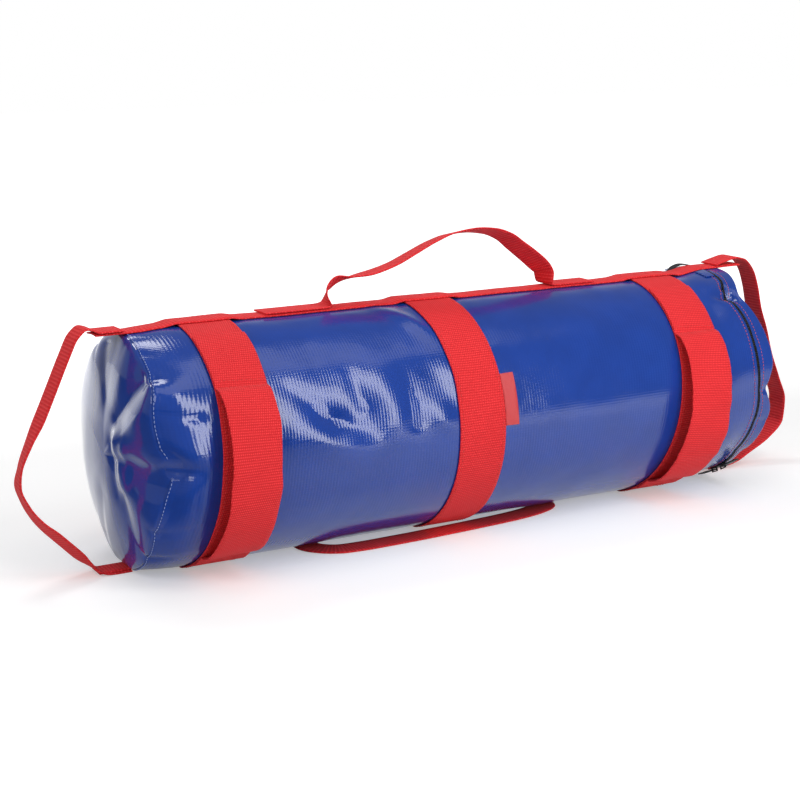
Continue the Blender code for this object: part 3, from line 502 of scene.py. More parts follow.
def placed(name, data):
    """Puts an object with the given data in the scene."""
    made = bpy.data.objects.new(name, data)
    bpy.context.scene.collection.objects.link(made)
    return made


def seat(bm, name, look, carrier, replaces=(), bends=()):
    """Makes a piece of a bmesh: bends it in order, gives it its look, hides the solids it replaces and lets
    it ride on the body a plain name gives; any other carrier leaves it fixed in place.
    """
    mesh = bpy.data.meshes.new(name)
    bm.to_mesh(mesh)
    bm.free()
    points = np.empty(len(mesh.vertices) * 3)
    mesh.vertices.foreach_get("co", points)
    points = points.reshape(-1, 3)
    for bend in bends:
        points = bend(points)
    mesh.vertices.foreach_set("co", points.ravel())
    mesh.update()
    mesh.materials.append(bpy.data.materials[look])
    mesh.shade_smooth()
    mesh.set_sharp_from_angle(angle=SHARP_ANGLE)
    piece = placed(name, mesh)
    if isinstance(carrier, str):
        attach(piece, carrier)
    else:
        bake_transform(piece)
    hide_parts(*replaces)
    return piece


def narrow_strap(length, steps, name, carrier, nodes, bend):
    """Makes a piece of narrow webbing that lies as its bend says."""
    seat(strap_blank(length, steps), name, "narrow_webbing", carrier, nodes, [bend])


def stitch_row(places, ups, thickness, share, width=1.0):
    """Where each bead of a row lies: on a share of the way between two places, flat under its up."""
    beads = []
    for start, end, up in zip(places, places[1:], ups):
        run = end - start
        ahead = run.normalized()
        side = up.cross(ahead).normalized()
        turn = Matrix((ahead, side, ahead.cross(side))).transposed().to_4x4()
        size = Matrix.Diagonal((run.length * share, thickness * width, thickness, 1.0))
        beads.append(Matrix.Translation((start + end) / 2 + up * thickness * 0.3) @ turn @ size)
    return beads


def beaded(beads):
    """A bmesh with one small bead at each of the given places."""
    bm = bmesh.new()
    bmesh.ops.create_uvsphere(bm, u_segments=6, v_segments=4, radius=0.5)
    bead = bpy.data.meshes.new("bead")
    bm.to_mesh(bead)
    bm.clear()
    for place in beads:
        bead.transform(place)
        bm.from_mesh(bead)
        bead.transform(place.inverted())
    bpy.data.meshes.remove(bead)
    return bm


def bag_row(x, first, last, out, pitch):
    """Places and up directions of a stitch row round the bag at x, between two angles."""
    count = max(2, int(radians(abs(last - first)) * TUBE_RADIUS / pitch))
    angles = np.linspace(first, last, count)
    places = [Vector(point) for point in on_bag(x, angles, out)]
    above = [Vector(point) for point in on_bag(x, angles, out + WEBBING_THICKNESS)]
    return places, [(high - low).normalized() for low, high in zip(places, above)]


class Wire:
    """A shader socket that takes part in sums: each operator adds a Math node."""

    def __init__(self, look, socket):
        self.look = look
        self.socket = socket

    def math(self, operation, *values):
        return self.look.node("ShaderNodeMath", {"operation": operation}, dict(enumerate(values)))

    def __add__(self, other):
        return self.math("ADD", self, other)

    def __sub__(self, other):
        return self.math("SUBTRACT", self, other)

    def __rsub__(self, other):
        return self.math("SUBTRACT", other, self)

    def __mul__(self, other):
        return self.math("MULTIPLY", self, other)

    __radd__ = __add__

    def wave(self, pitch):
        """A sine of a length, from 0 to 1 over one pitch."""
        return self.math("SINE", self * (2 * pi / pitch)) * 0.5 + 0.5

    def larger(self, other):
        return self.math("MAXIMUM", self, other)


class Look:
    """A material under construction, with one method for every node."""

    def __init__(self, owner):
        if isinstance(owner, str):
            owner = bpy.data.materials.new(owner)
        owner.use_nodes = True
        self.owner = owner
        self.tree = owner.node_tree
        self.shader = self.tree.nodes.get("Principled BSDF")

    def node(self, kind, settings=None, inputs=None, output=0):
        """Adds a node, sets it up, fills or links its sockets and returns one output."""
        made = self.tree.nodes.new(kind)
        for key, value in (settings or {}).items():
            setattr(made, key, value)
        for key, value in (inputs or {}).items():
            self.fill(made.inputs[key], value)
        return Wire(self, made.outputs[output])

    def fill(self, socket, value):
        if isinstance(value, Wire):
            self.tree.links.new(value.socket, socket)
        else:
            socket.default_value = value

    def cloth(self):
        """The two lengths of the piece's own cloth map, in metres."""
        return self.split(self.node("ShaderNodeUVMap", {"uv_map": "cloth"}))[:2]

    def split(self, vector):
        """The three numbers of a vector."""
        first = self.node("ShaderNodeSeparateXYZ", None, {0: vector})
        return [Wire(self, output) for output in first.socket.node.outputs]

    def place(self):
        return self.node("ShaderNodeTexCoord", output="Object")

    def noise(self, scale, detail=2.0):
        """A random number from 0 to 1 that changes over the piece."""
        sockets = {"Vector": self.place(), "Scale": scale, "Detail": detail}
        return self.node("ShaderNodeTexNoise", None, sockets, output="Fac")

    def mix(self, share, first, second):
        """A colour between two colours."""
        return self.node("ShaderNodeMix", {"data_type": "RGBA"}, {0: share, 6: first, 7: second}, output=2)

    def ramp(self, value, low, high):
        """A number from 0 to 1 where value runs from low to high."""
        return self.node("ShaderNodeMapRange", None, {"Value": value, "From Min": low, "From Max": high})

    def seen(self, glossy_share=1.0):
        """1 for the rays that show a background: to the camera, in a reflection and through glass."""
        path = self.node("ShaderNodeLightPath")
        outputs = path.socket.node.outputs
        camera, glossy, through = (Wire(self, outputs[kind + " Ray"])
                                   for kind in ("Is Camera", "Is Glossy", "Is Transmission"))
        return camera.larger(glossy * glossy_share).larger(through)

    def glossy(self):
        """1 for the rays of a reflection."""
        return self.node("ShaderNodeLightPath", output="Is Glossy Ray")

    def bump(self, height, distance, strength=1.0, **sockets):
        """The surface direction of a fine relief, which may lie on another one."""
        sockets.update(Height=height, Distance=distance, Strength=strength)
        return self.node("ShaderNodeBump", None, sockets)

    def finish(self, **sockets):
        """Fills the shader's sockets, named with underscores for spaces."""
        for key, value in sockets.items():
            self.fill(self.shader.inputs[key.replace("_", " ")], value)


def shade(color, factor, lift=0.0):
    """An opaque shader colour, lightened or darkened by a factor, and paler by a lift."""
    return tuple(min(part * factor + lift, 1.0) for part in color[:3]) + (1.0,)


def woven_look(name, color, sizes, coarse=1.0, painted_highlight_factor=1.12, painted_shade_and_wear_factor=0.72, depth=0.0003):
    """Webbing: ribs across the strap, broken up into staggered yarns, with a little fuzz, painted shade in
    their grooves, painted highlights on the yarn tops and random darker patches.
    """
    look = Look(name)
    along, across = look.cloth()
    ribs = along.wave(sizes.rib_pitch * coarse)
    yarns = (across + along * 0.25).wave(sizes.yarn_pitch)
    dots = ribs * yarns
    fuzz = look.noise(700.0)
    patches = look.noise(28.0)
    height = ribs * 0.55 + dots * 0.45 + fuzz * 0.3
    # Painted shade: the grooves between ribs and yarns are darkened in the colour
    tone = look.mix(ribs * 0.55 + yarns * 0.45, shade(color, painted_shade_and_wear_factor), shade(color, 1.0))
    # Painted highlights: the yarn tops are lightened and paled in the colour
    painted_highlight_tone = look.mix(look.ramp(dots, 0.35, 0.90), tone, shade(color, painted_highlight_factor, 0.05))
    # Random darker patches, in the same darker colour as the painted groove shade
    worn = look.mix(look.ramp(patches, 0.42, 0.70) * 0.18, painted_highlight_tone, shade(color, painted_shade_and_wear_factor))
    look.finish(Base_Color=worn, Roughness=0.70 + fuzz * 0.12, Normal=look.bump(height, depth),
                Sheen_Weight=0.05, Sheen_Roughness=0.5, Specular_IOR_Level=0.25)


def fabric_look(name, color, sizes, thread_share=1.0, coat=0.25):
    """Coated fabric: a glossy skin over a plain scrim, whose threads show in the highlights."""
    look = Look(name)
    along, across = look.cloth()
    threads = along.wave(sizes.scrim_pitch * 1.2) * 0.65 + across.wave(sizes.scrim_pitch) * 0.35
    waves = look.noise(30.0)
    skin = look.bump(threads, 0.00010, 0.9 * thread_share)
    soft = look.bump(waves, 0.0018, 0.30, Normal=skin)
    tone = look.mix(look.ramp(waves, 0.35, 0.70), shade(color, 0.94), shade(color, 1.06))
    look.finish(Base_Color=tone, Roughness=sizes.fabric_roughness + waves * 0.06, Normal=soft, IOR=1.5,
                Coat_Weight=coat, Coat_Roughness=0.06, Coat_IOR=1.5)


def plain_looks(sizes):
    """The finishes of the small pieces."""
    thread = Look("pale_thread")
    tone = thread.mix(thread.noise(1500.0, 1.0), (0.16, 0.24, 0.58, 1.0), (0.44, 0.52, 0.82, 1.0))
    thread.finish(Base_Color=tone, Roughness=0.7)
    for name, color in (("orange_thread", (0.62, 0.10, 0.12)), ("red_thread", (0.70, 0.05, 0.05))):
        look = Look(name)
        tone = look.mix(look.noise(1500.0, 1.0), shade(color, 0.7), shade(color, 1.3))
        look.finish(Base_Color=tone, Roughness=0.7)
    satin = Look("label_satin")
    along, across = satin.cloth()
    rows = along.wave(0.0007)
    tone = satin.mix(rows, (0.52, 0.024, 0.030, 1.0), (0.64, 0.040, 0.046, 1.0))
    satin.finish(Base_Color=tone, Roughness=0.42 + rows * 0.12, Sheen_Weight=0.1,
                 Normal=satin.bump(rows + satin.noise(300.0), 0.00006))
    tape = Look("zip_cloth")
    along, across = tape.cloth()
    weave = along.wave(0.0011) * across.wave(0.0011)
    tone = tape.mix(weave, (0.006, 0.006, 0.010, 1.0), (0.030, 0.030, 0.042, 1.0))
    tape.finish(Base_Color=tone, Roughness=0.82 - weave * 0.1, Normal=tape.bump(weave, 0.0002, 0.7))
    teeth = Look("black_nylon")
    tone = teeth.mix(teeth.noise(600.0), (0.008, 0.008, 0.012, 1.0), (0.020, 0.020, 0.028, 1.0))
    teeth.finish(Base_Color=tone, Roughness=0.34 + teeth.noise(900.0) * 0.15)
    metal = Look("black_lacquer")
    worn = metal.ramp(metal.noise(380.0, 4.0), 0.62, 0.72)
    tone = metal.mix(worn, (0.010, 0.010, 0.012, 1.0), (0.09, 0.09, 0.095, 1.0))
    metal.finish(Base_Color=tone, Roughness=0.30 + metal.noise(200.0) * 0.15, Metallic=0.6,
                 Normal=metal.bump(metal.noise(500.0), 0.00005))
    canvas = Look("plain_canvas")
    along, across = canvas.cloth()
    weave = along.wave(0.0016) * across.wave(0.0016)
    wear = weave * 0.7 + canvas.noise(60.0) * 0.3
    tone = canvas.mix(wear, (0.15, 0.15, 0.14, 1.0), (0.34, 0.33, 0.31, 1.0))
    canvas.finish(Base_Color=tone, Roughness=0.9, Normal=canvas.bump(weave, 0.0003, 0.8), Sheen_Weight=0.2)
    cord = Look("braided_cord")
    braid = cord.node("ShaderNodeTexWave", {"wave_type": "BANDS", "bands_direction": "DIAGONAL"},
                      {"Vector": cord.place(), "Scale": 190.0, "Distortion": 0.6}, output="Fac")
    tone = cord.mix(braid, (0.46, 0.45, 0.42, 1.0), (0.80, 0.79, 0.75, 1.0))
    cord.finish(Base_Color=tone, Roughness=0.8, Normal=cord.bump(braid, 0.0004))
    sand = Look("loose_sand")
    grains = sand.noise(1400.0)
    tone = sand.mix(grains, (0.28, 0.20, 0.11, 1.0), (0.72, 0.58, 0.38, 1.0))
    sand.finish(Base_Color=tone, Roughness=0.95, Normal=sand.bump(grains, 0.0004))


def length_property(name, description, default):
    """A size in metres that the sidebar shows."""
    return bpy.props.FloatProperty(name=name, description=description, unit="LENGTH", default=default)


def color_property(name, description, default):
    """A colour that the sidebar shows."""
    return bpy.props.FloatVectorProperty(
        name=name, description=description, subtype="COLOR", size=3, min=0.0, max=1.0, default=default)


class BagSizes(bpy.types.PropertyGroup):
    """Sizes and colours of the dressed bag."""

    fabric_color: color_property("Fabric", "Colour of the coated fabric", (0.008, 0.048, 0.310))
    webbing_color: color_property("Webbing", "Colour of the webbing", (0.86, 0.020, 0.026))
    fabric_roughness: bpy.props.FloatProperty(
        name="Fabric roughness", description="Roughness of the fabric's coating", subtype="FACTOR",
        min=0.0, max=1.0, default=0.10)
    scrim_pitch: length_property("Scrim pitch", "Distance between the scrim's threads", 0.0025)
    rib_pitch: length_property("Rib pitch", "Distance between the webbing's ribs", 0.0023)
    yarn_pitch: length_property("Yarn pitch", "Distance between the webbing's yarns", 0.0020)
    stitch_pitch: length_property("Stitch pitch", "Length of one stitch and its gap", 0.0042)
    thread: length_property("Thread", "Thickness of the sewing thread", 0.0007)


class BAG_OT_looks(bpy.types.Operator):
    """Makes the finishes of the bag"""
    bl_idname = "weighted_bag.looks"
    bl_label = "Finishes"

    def execute(self, context):
        sizes = context.scene.weighted_bag
        fabric_look("blue_fabric", sizes.fabric_color, sizes)
        fabric_look("smooth_blue_fabric", sizes.fabric_color, sizes, thread_share=0.2, coat=0.8)
        woven_look("ribbed_webbing", sizes.webbing_color, sizes)
        # The narrow webbing gets coarser ribs, brighter painted highlights and lighter painted shade
        woven_look("narrow_webbing", sizes.webbing_color, sizes, coarse=1.4, painted_highlight_factor=1.45, painted_shade_and_wear_factor=0.84,
                   depth=0.0004)
        plain_looks(sizes)
        return {"FINISHED"}


def fabric_stations():
    """The x stations of the tube's skin, closest where it creases."""
    left = np.arange(SEAM_X, -0.250, 0.0016)
    middle = np.arange(-0.250, 0.280, 0.0048)
    right = np.arange(0.280, ZIP_X - ZIP_OPENING, 0.0022)
    return [float(x) for x in np.concatenate([left, middle, right, [ZIP_X - ZIP_OPENING]])]


class BAG_OT_tube(bpy.types.Operator):
    """Makes the tube of coated fabric, with its swells and creases"""
    bl_idname = "weighted_bag.tube"
    bl_label = "Fabric tube"

    def execute(self, context):
        stations = fabric_stations()
        outer = []
        for x in stations:
            inset = max(0.0, 1.0 - (x - SEAM_X) / HEM_LENGTH)
            outer.append((x, TUBE_RADIUS - HEM_DEPTH * inset ** 2))
        inner = [(x, TUBE_RADIUS - FABRIC_THICKNESS) for x in reversed(stations[::5] + [stations[-1]])]
        bm = turned(outer + inner)
        wrap_map(bm)
        piece = seat(bm, "fabric_tube", "blue_fabric", "bag", ["body_tube"], [draped])
        return {"FINISHED"}


class BAG_OT_sewn_end(bpy.types.Operator):
    """Makes the round panel of the sewn end, crumpled where it runs into its seam"""
    bl_idname = "weighted_bag.sewn_end"
    bl_label = "Sewn end"

    def execute(self, context):
        radius = TUBE_RADIUS - FABRIC_THICKNESS - LAYER_GAP
        start = SEAM_X - LAYER_GAP
        shares = 1.0 - np.linspace(0.0, 1.0, 90) ** 1.4
        rises = (1.0 - shares ** 2) * 0.42 + np.sqrt(1.0 - shares ** 2) * 0.58
        hem = start + 0.014
        outer = [(hem, radius)]
        outer += [(start - END_BULGE * rise, radius * share) for share, rise in zip(shares, rises)]
        wall = FABRIC_THICKNESS
        inner = [(start + wall - END_BULGE * rise, (radius - wall) * share)
                 for share, rise in zip(shares[::-9], rises[::-9])]
        inner.append((hem, radius - wall))
        outline = outer + [(x, max(r, 0.0)) for x, r in inner]
        bm = turned(outline)
        wrap_map(bm)
        piece = seat(bm, "sewn_end", "smooth_blue_fabric", "bag", ["end_panel"],
                     [draped, panel_relief(END_CREASES, -1)])
        return {"FINISHED"}


class BAG_OT_bands(bpy.types.Operator):
    """Makes the three wide bands of webbing round the bag"""
    bl_idname = "weighted_bag.bands"
    bl_label = "Bands"

    def execute(self, context):
        for name, middle in BAND_PLACES.items():

            def ring(flat, middle=middle):
                angle = np.degrees(flat[:, 0] / TUBE_RADIUS) - 180.0
                return on_bag(middle + flat[:, 1], angle * 0.9995, LAYER_GAP + flat[:, 2])

            bm = strap_blank(2 * pi * TUBE_RADIUS, ROUND_STEPS, WIDE_WEBBING, columns=10)
            seat(bm, name + "_webbing", "ribbed_webbing", "bag", [name], [ring])
        return {"FINISHED"}


def grip_height(angle):
    """Height of a band grip's inner face over the fabric."""
    share = np.clip((angle - GRIP_OPEN_ANGLE) / (GRIP_CLOSE_ANGLE - GRIP_OPEN_ANGLE), 0.0, 1.0)
    return WEBBING_STEP + LAYER_GAP + GRIP_STANDOFF * np.sqrt(np.maximum(np.sin(pi * share), 0.0))


class BAG_OT_grips(bpy.types.Operator):
    """Makes the two wide hand grips, which stand off their bands"""
    bl_idname = "weighted_bag.grips"
    bl_label = "Band grips"

    def execute(self, context):
        sizes = context.scene.weighted_bag
        angles = np.linspace(GRIP_TOP_ANGLE, GRIP_BOTTOM_ANGLE, GRIP_STEPS)
        height = grip_height(angles) + WEBBING_THICKNESS / 2
        edge = WIDE_WEBBING / 2 - 0.004
        for name in ("left_band", "right_band"):
            middle = BAND_PLACES[name]
            centres = on_bag(middle, angles, height)[::3]
            route = Route(centres, centres - on_bag(middle - 0.01, angles, height)[::3])
            bm = strap_blank(route.length, 180, WIDE_WEBBING, columns=10)
            seat(bm, name + "_grip", "ribbed_webbing", "bag", [name + "_handle"], [route.bend])
            beads = []
            for turn in (GRIP_OPEN_ANGLE - 2.0, GRIP_OPEN_ANGLE - 6.0, GRIP_BOTTOM_ANGLE - 2.5):
                place = np.interp(turn, angles, np.linspace(0.0, route.length, GRIP_STEPS))
                up = Vector(route.at(route.ups, place))
                for side in np.arange(-edge, edge, sizes.stitch_pitch):
                    flat = np.array([[place, side + sizes.stitch_pitch * share, WEBBING_THICKNESS]
                                     for share in (0.0, 0.8)])
                    ends = [Vector(point) for point in route.bend(flat)]
                    beads += stitch_row(ends, [up], sizes.thread, 0.9)
            seat(beaded(beads), name + "_grip_stitches", "red_thread", "bag")
        return {"FINISHED"}


class BAG_OT_label(bpy.types.Operator):
    """Makes the bare label tab beside the middle band"""
    bl_idname = "weighted_bag.label"
    bl_label = "Label"

    def execute(self, context):
        low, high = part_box("label_tag")
        reach = high.x - low.x

        def lie(flat):
            angle = LABEL_ANGLE + np.degrees((flat[:, 0] - LABEL_LENGTH / 2) / TUBE_RADIUS)
            lift = 0.0010 * smooth_step((flat[:, 1] + reach / 2) / reach)
            return on_bag(low.x + reach / 2 + flat[:, 1], angle, LAYER_GAP + lift + flat[:, 2])

        bm = strap_blank(LABEL_LENGTH, 24, reach, 0.0008)
        seat(bm, "label_tab", "label_satin", "bag", ["label_tag"], [lie])
        return {"FINISHED"}


def lap_height(x):
    """Height of a long strap's inner face over the fabric, where it climbs over the bands."""
    return LAYER_GAP + WEBBING_STEP * (1.0 - smooth_step(band_distance(x) / LAP_RAMP))


class BAG_OT_long_straps(bpy.types.Operator):
    """Makes the narrow straps along the top and underneath, and their sewn ends"""
    bl_idname = "weighted_bag.long_straps"
    bl_label = "Long straps"

    def execute(self, context):
        hinge = HINGE_PLACES["lid_hinge"]
        reach = 0.011
        over_hinge = ("bag", "lid", hinge - Vector((reach, 0, 0)), hinge + Vector((reach, 0, 0)))
        lid_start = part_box("lid_strap_bottom")[0].x
        bag_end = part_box("bottom_webbing")[1].x
        for name, angle, start, end, carrier, nodes in (
                ("top_strap", 0.0, LEFT_STUB_X, RIGHT_STUB_X, over_hinge, ["top_webbing", "lid_strap_top"]),
                ("bottom_strap", 180.0, LEFT_STUB_X, bag_end, "bag", ["bottom_webbing"]),
                ("lid_bottom_strap", 180.0, lid_start, RIGHT_STUB_X, "lid", ["lid_strap_bottom"])):

            def lie(flat, angle=angle, start=start):
                x = start + flat[:, 0]
                turn = np.degrees(flat[:, 1] / TUBE_RADIUS)
                return on_bag(x, angle + turn, lap_height(x) + flat[:, 2])

            steps = max(12, int((end - start) / STRAP_STEP))
            narrow_strap(end - start, steps, name, carrier, nodes, lie)
        return {"FINISHED"}


class BAG_OT_top_handle(bpy.types.Operator):
    """Makes the arched top handle with its sewn feet"""
    bl_idname = "weighted_bag.top_handle"
    bl_label = "Top handle"

    def execute(self, context):
        hinge = HINGE_PLACES["top_handle_swing"]
        left_x = HANDLE_FOOT_LEFT[1].x - WEBBING_THICKNESS / 2
        right_x = HANDLE_FOOT_RIGHT[0].x + WEBBING_THICKNESS / 2
        low = HANDLE_FOOT_LEFT[0].z + WEBBING_THICKNESS / 2
        span = right_x - left_x
        feet = ((0.010, 0.0, 0.0), (0.0025, 0.0006, 0.0), (0.0003, 0.0030, -8.0))
        centres = [(HANDLE_FOOT_LEFT[0].x, 0, low)]
        centres += [(left_x - away, 0, low + up) for away, up, roll in feet]
        centres += [(left_x + span * along, 0, hinge.z + span * up) for along, up, roll in TOP_HANDLE_SHARES]
        centres += [(right_x + away, 0, low + up) for away, up, roll in feet[::-1]]
        centres.append((HANDLE_FOOT_RIGHT[1].x, 0, low))
        rolls = [0.0, *(row[2] for row in feet + TOP_HANDLE_SHARES + feet[::-1]), 0.0]
        route = rolled_route(centres, rolls)
        carrier = ("bag", "top_handle", (0, 0, low + 0.002), (0, 0, hinge.z + 0.010))
        narrow_strap(route.length, LOOP_STEPS, "top_handle_webbing", carrier,
                     ["top_handle_strap", "top_handle_foot_left", "top_handle_foot_right"], route.bend)
        return {"FINISHED"}


class BAG_OT_bottom_handle(bpy.types.Operator):
    """Makes the bottom handle, which lies on the floor in front of the bag"""
    bl_idname = "weighted_bag.bottom_handle"
    bl_label = "Bottom handle"

    def execute(self, context):
        half = NARROW_WEBBING / 2
        left_x = UNDER_FOOT_LEFT[1].x - half
        right_x = UNDER_FOOT_RIGHT[0].x + half
        reach = -UNDER_LOW.y - half
        root = half + LAYER_GAP
        height = UNDER_LOW.z + WEBBING_THICKNESS / 2
        span = right_x - left_x
        centres = [(left_x + span * along, -root - (reach - root) * out, height)
                   for along, out, turn in UNDER_HANDLE_SHARES]
        acrosses = [(cos(turn * pi / 2), sin(turn * pi / 2), 0.0) for along, out, turn in UNDER_HANDLE_SHARES]
        route = Route(centres, acrosses)
        carrier = ("bag", "bottom_handle", (0, -root, height), (0, -root - 0.010, height))
        narrow_strap(route.length, 160, "bottom_handle_webbing", carrier, ["bottom_handle_strap"], route.bend)
        for side, (low, high) in (("left", UNDER_FOOT_LEFT), ("right", UNDER_FOOT_RIGHT)):
            centres = [(x, 0, WEBBING_THICKNESS / 2) for x in (low.x, (low.x + high.x) / 2, high.x)]
            lay = Route(centres, [SIDEWAYS] * 3)
            node = "bottom_handle_foot_" + side
            narrow_strap(lay.length, 24, "bottom_foot_" + side, "bag", [node], lay.bend)
        return {"FINISHED"}


class BAG_OT_end_loops(bpy.types.Operator):
    """Makes the carrying loops past both ends"""
    bl_idname = "weighted_bag.end_loops"
    bl_label = "End loops"

    def execute(self, context):
        for name, parent, body, pivot, way, reach, shares in (
                ("left_loop", "bag", "left_loop", LEFT_PIVOT_X, -1, LEFT_REACH, LEFT_LOOP_SHARES),
                ("right_loop", "lid", "right_loop", RIGHT_PIVOT_X, 1, RIGHT_REACH, RIGHT_LOOP_SHARES)):
            out = WEBBING_STEP + LAYER_GAP + WEBBING_THICKNESS / 2
            bottom, top = (corner.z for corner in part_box(name + "_strap"))
            low = bottom + WEBBING_THICKNESS / 2
            high = float(on_bag(pivot, 0.0, out)[2])
            if way < 0:
                high = min(top - WEBBING_THICKNESS / 2, high)
            tail = pivot - way * LOOP_TAIL
            centres = [(tail, 0, min(float(on_bag(tail, 0.0, out)[2]), high))]
            centres += [(pivot + way * reach * along, 0, low + (high - low) * up)
                        for along, up, roll in shares]
            centres.append((tail, 0, low))
            route = rolled_route(centres, [0.0, *(row[2] for row in shares), 0.0])
            start, end = (Vector((pivot + way * place, 0, 0)) for place in (-0.006, 0.034))
            narrow_strap(route.length, LOOP_STEPS, name + "_webbing", (parent, body, start, end),
                         [name + "_strap"], route.bend)
        return {"FINISHED"}


class BAG_OT_lid(bpy.types.Operator):
    """Makes the lid: its gusset, its crumpled rim and its round panel"""
    bl_idname = "weighted_bag.lid"
    bl_label = "Lid"

    def execute(self, context):
        wall = FABRIC_THICKNESS
        start = ZIP_X + ZIP_OPENING
        panel = LID_PANEL_X + wall
        lip = TUBE_RADIUS - wall - LAYER_GAP
        rim = 0.0012
        fold = 0.0015
        outer = [(float(x), TUBE_RADIUS) for x in np.linspace(start, RIM_X - rim, 16)]
        outer += [(RIM_X - rim + rim * sin(turn), TUBE_RADIUS - rim + rim * cos(turn))
                  for turn in np.linspace(0.3, pi / 2, 5)]
        outer.append((RIM_X, lip - wall))
        inside = [(float(x), lip - wall) for x in np.linspace(RIM_X - 0.001, panel + 0.002, 8)]
        turn_in = [(panel + fold * (1 - sin(turn)), lip - wall - fold * (1 - cos(turn)))
                   for turn in np.linspace(0.0, pi / 2, 4)]
        face = [(panel - 0.004 * (1 - (radius / lip) ** 2), float(radius))
                for radius in np.linspace(lip - wall - 0.003, 0.0, 36)]
        back = [(x - wall, radius) for x, radius in face[::-3]]
        close = [(LID_PANEL_X, TUBE_RADIUS - wall), (start, TUBE_RADIUS - wall)]
        bm = turned(outer + inside + turn_in + face + back + close)
        wrap_map(bm)
        piece = seat(bm, "lid_skin", "blue_fabric", "lid", ["lid_gusset", "lid_panel"],
                     [draped, panel_relief(LID_CREASES, 1)])
        return {"FINISHED"}


class BAG_OT_zip(bpy.types.Operator):
    """Makes both tapes of the zip, their teeth and the tabs over their ends"""
    bl_idname = "weighted_bag.zip"
    bl_label = "Zip"

    def execute(self, context):
        low = TAPE_RADIUS
        high = low + 0.0009
        for name, body, way, width in (
                ("zip_tape_body", "bag", -1, 0.012), ("zip_tape_lid", "lid", 1, 0.0105)):
            near = ZIP_X + way * 0.0005
            far = ZIP_X + way * width
            outline = [(near, low), (near, high), (ZIP_X + way * ZIP_OPENING, high), (far, low + 0.0007),
                       (far, low)]
            bm = turned_arc(outline, TAPE_START, 360.0 - TAPE_START)
            wrap_map(bm)
            seat(bm, name + "_cloth", "zip_cloth", body, [name], [draped])
            first = TAPE_START + 0.5
            places, ups = bag_row(ZIP_X + way * TOOTH_SIDE, first, 360.0 - first, -0.0004, TOOTH_PITCH)
            beads = stitch_row(places, ups, TOOTH_SIZE, 0.7, 1.4)
            seat(beaded(beads), name + "_teeth", "black_nylon", body)
        end = HANDLE_HIGH.y + 0.0030
        centres = [(ZIP_X - 0.020 + along, end, TUBE_TOP + rise) for along, rise in
                   ((0.0, 0.0), (0.0045, 0.0040), (0.015, 0.0068), (0.0255, 0.0054), (0.030, 0.0010))]
        arc = Route(centres, [SIDEWAYS] * len(centres))
        seat(strap_blank(arc.length, 30, 0.008, 0.0010), "zip_loose_end", "zip_cloth", "bag",
             bends=[arc.bend])
        for name, way in (("zip_end_tab_front", 1), ("zip_end_tab_back", -1)):

            def lie(flat, way=way):
                angle = way * (TAB_START + np.degrees(flat[:, 0] / TUBE_RADIUS))
                return on_bag(ZIP_X - 0.0092 + flat[:, 1] * way, angle, LAYER_GAP + flat[:, 2])

            tab = strap_blank(0.018, 12, 0.014, 0.0010)
            seat(tab, name + "_patch", "blue_fabric", "bag", [name], [lie])
        return {"FINISHED"}


def slider_frame(angle):
    """The frame of a slider on the zip: X along the bag, Y round it and Z out of it."""
    shift = float(wandering(angle, ZIP_WAVE_SHARES, ZIP_WAVE))
    centre = Vector((ZIP_X + shift, 0, AXIS_HEIGHT + RIGHT_LIFT))
    return Matrix.Translation(centre) @ Matrix.Rotation(radians(angle), 4, "X")


def block(bm, size, place, bevel=0.0004, segments=2):
    """Adds a bevelled block of a size at a place."""
    matrix = Matrix.Translation(place) @ Matrix.Diagonal((*size, 1.0))
    made = bmesh.ops.create_cube(bm, size=1.0, matrix=matrix)
    edges = list({edge for vert in made["verts"] for edge in vert.link_edges})
    bmesh.ops.bevel(bm, geom=edges, offset=bevel, affect="EDGES", segments=segments, profile=0.5,
                    material=-1)


class BAG_OT_sliders(bpy.types.Operator):
    """Makes the two zip sliders that meet low on the front, with their pulls"""
    bl_idname = "weighted_bag.sliders"
    bl_label = "Sliders"

    def execute(self, context):
        share = 1.0 - RIGHT_DRAW_SHARE
        tape = TAPE_RADIUS * share
        crown = (TUBE_RADIUS + 0.0008) * share + 0.0005 + SLIDER_PLATE
        for side, angle, way in (("front", 149.0, 1), ("back", 156.5, -1)):
            body = "slider_" + side
            place = slider_frame(angle)
            bm = bmesh.new()
            block(bm, (SLIDER_WIDTH, 0.0116, SLIDER_PLATE), (0, 0, crown - SLIDER_PLATE / 2), 0.0005)
            block(bm, (SLIDER_WIDTH, 0.0100, SLIDER_PLATE), (0, 0, tape - 0.0011), 0.0005)
            post = (0, way * 0.0040, (crown + tape) / 2 - 0.0006)
            block(bm, (0.0006, 0.0020, crown - tape), post, 0.0002, 1)
            for foot in (-0.0037, 0.0037):
                block(bm, (0.0020, 0.0010, 0.0030), (0, foot, crown + 0.0014))
            block(bm, (0.0020, 0.0084, 0.0010), (0, 0, crown + 0.0030))
            bmesh.ops.transform(bm, matrix=place, verts=bm.verts)
            seat(bm, "zip_slider_body_" + side, "black_lacquer", body, ["zip_slider_" + side])
            bm = bmesh.new()
            for arm in (-0.00345, 0.00345):
                block(bm, (0.0016, 0.0090, 0.0012), (arm, 0.0040, 0))
            block(bm, (0.0085, 0.0012, 0.0012), (0, 0, 0))
            grip = (0, (PULL_LENGTH + 0.0070) / 2, 0)
            block(bm, (0.0085, PULL_LENGTH - 0.0080, 0.0014), grip, 0.0006)
            block(bm, (0.0050, PULL_LENGTH - 0.0130, 0.0020), grip, 0.0006)
            facing = Matrix.Rotation(0.0 if way > 0 else pi, 4, "Z")
            place = place @ Matrix.Translation((0, 0, crown + 0.0011)) @ facing
            bmesh.ops.transform(bm, matrix=place, verts=bm.verts)
            seat(bm, "zip_pull_tab_" + side, "black_lacquer", "pull_" + side,
                 ["zip_pull_" + side])
        return {"FINISHED"}


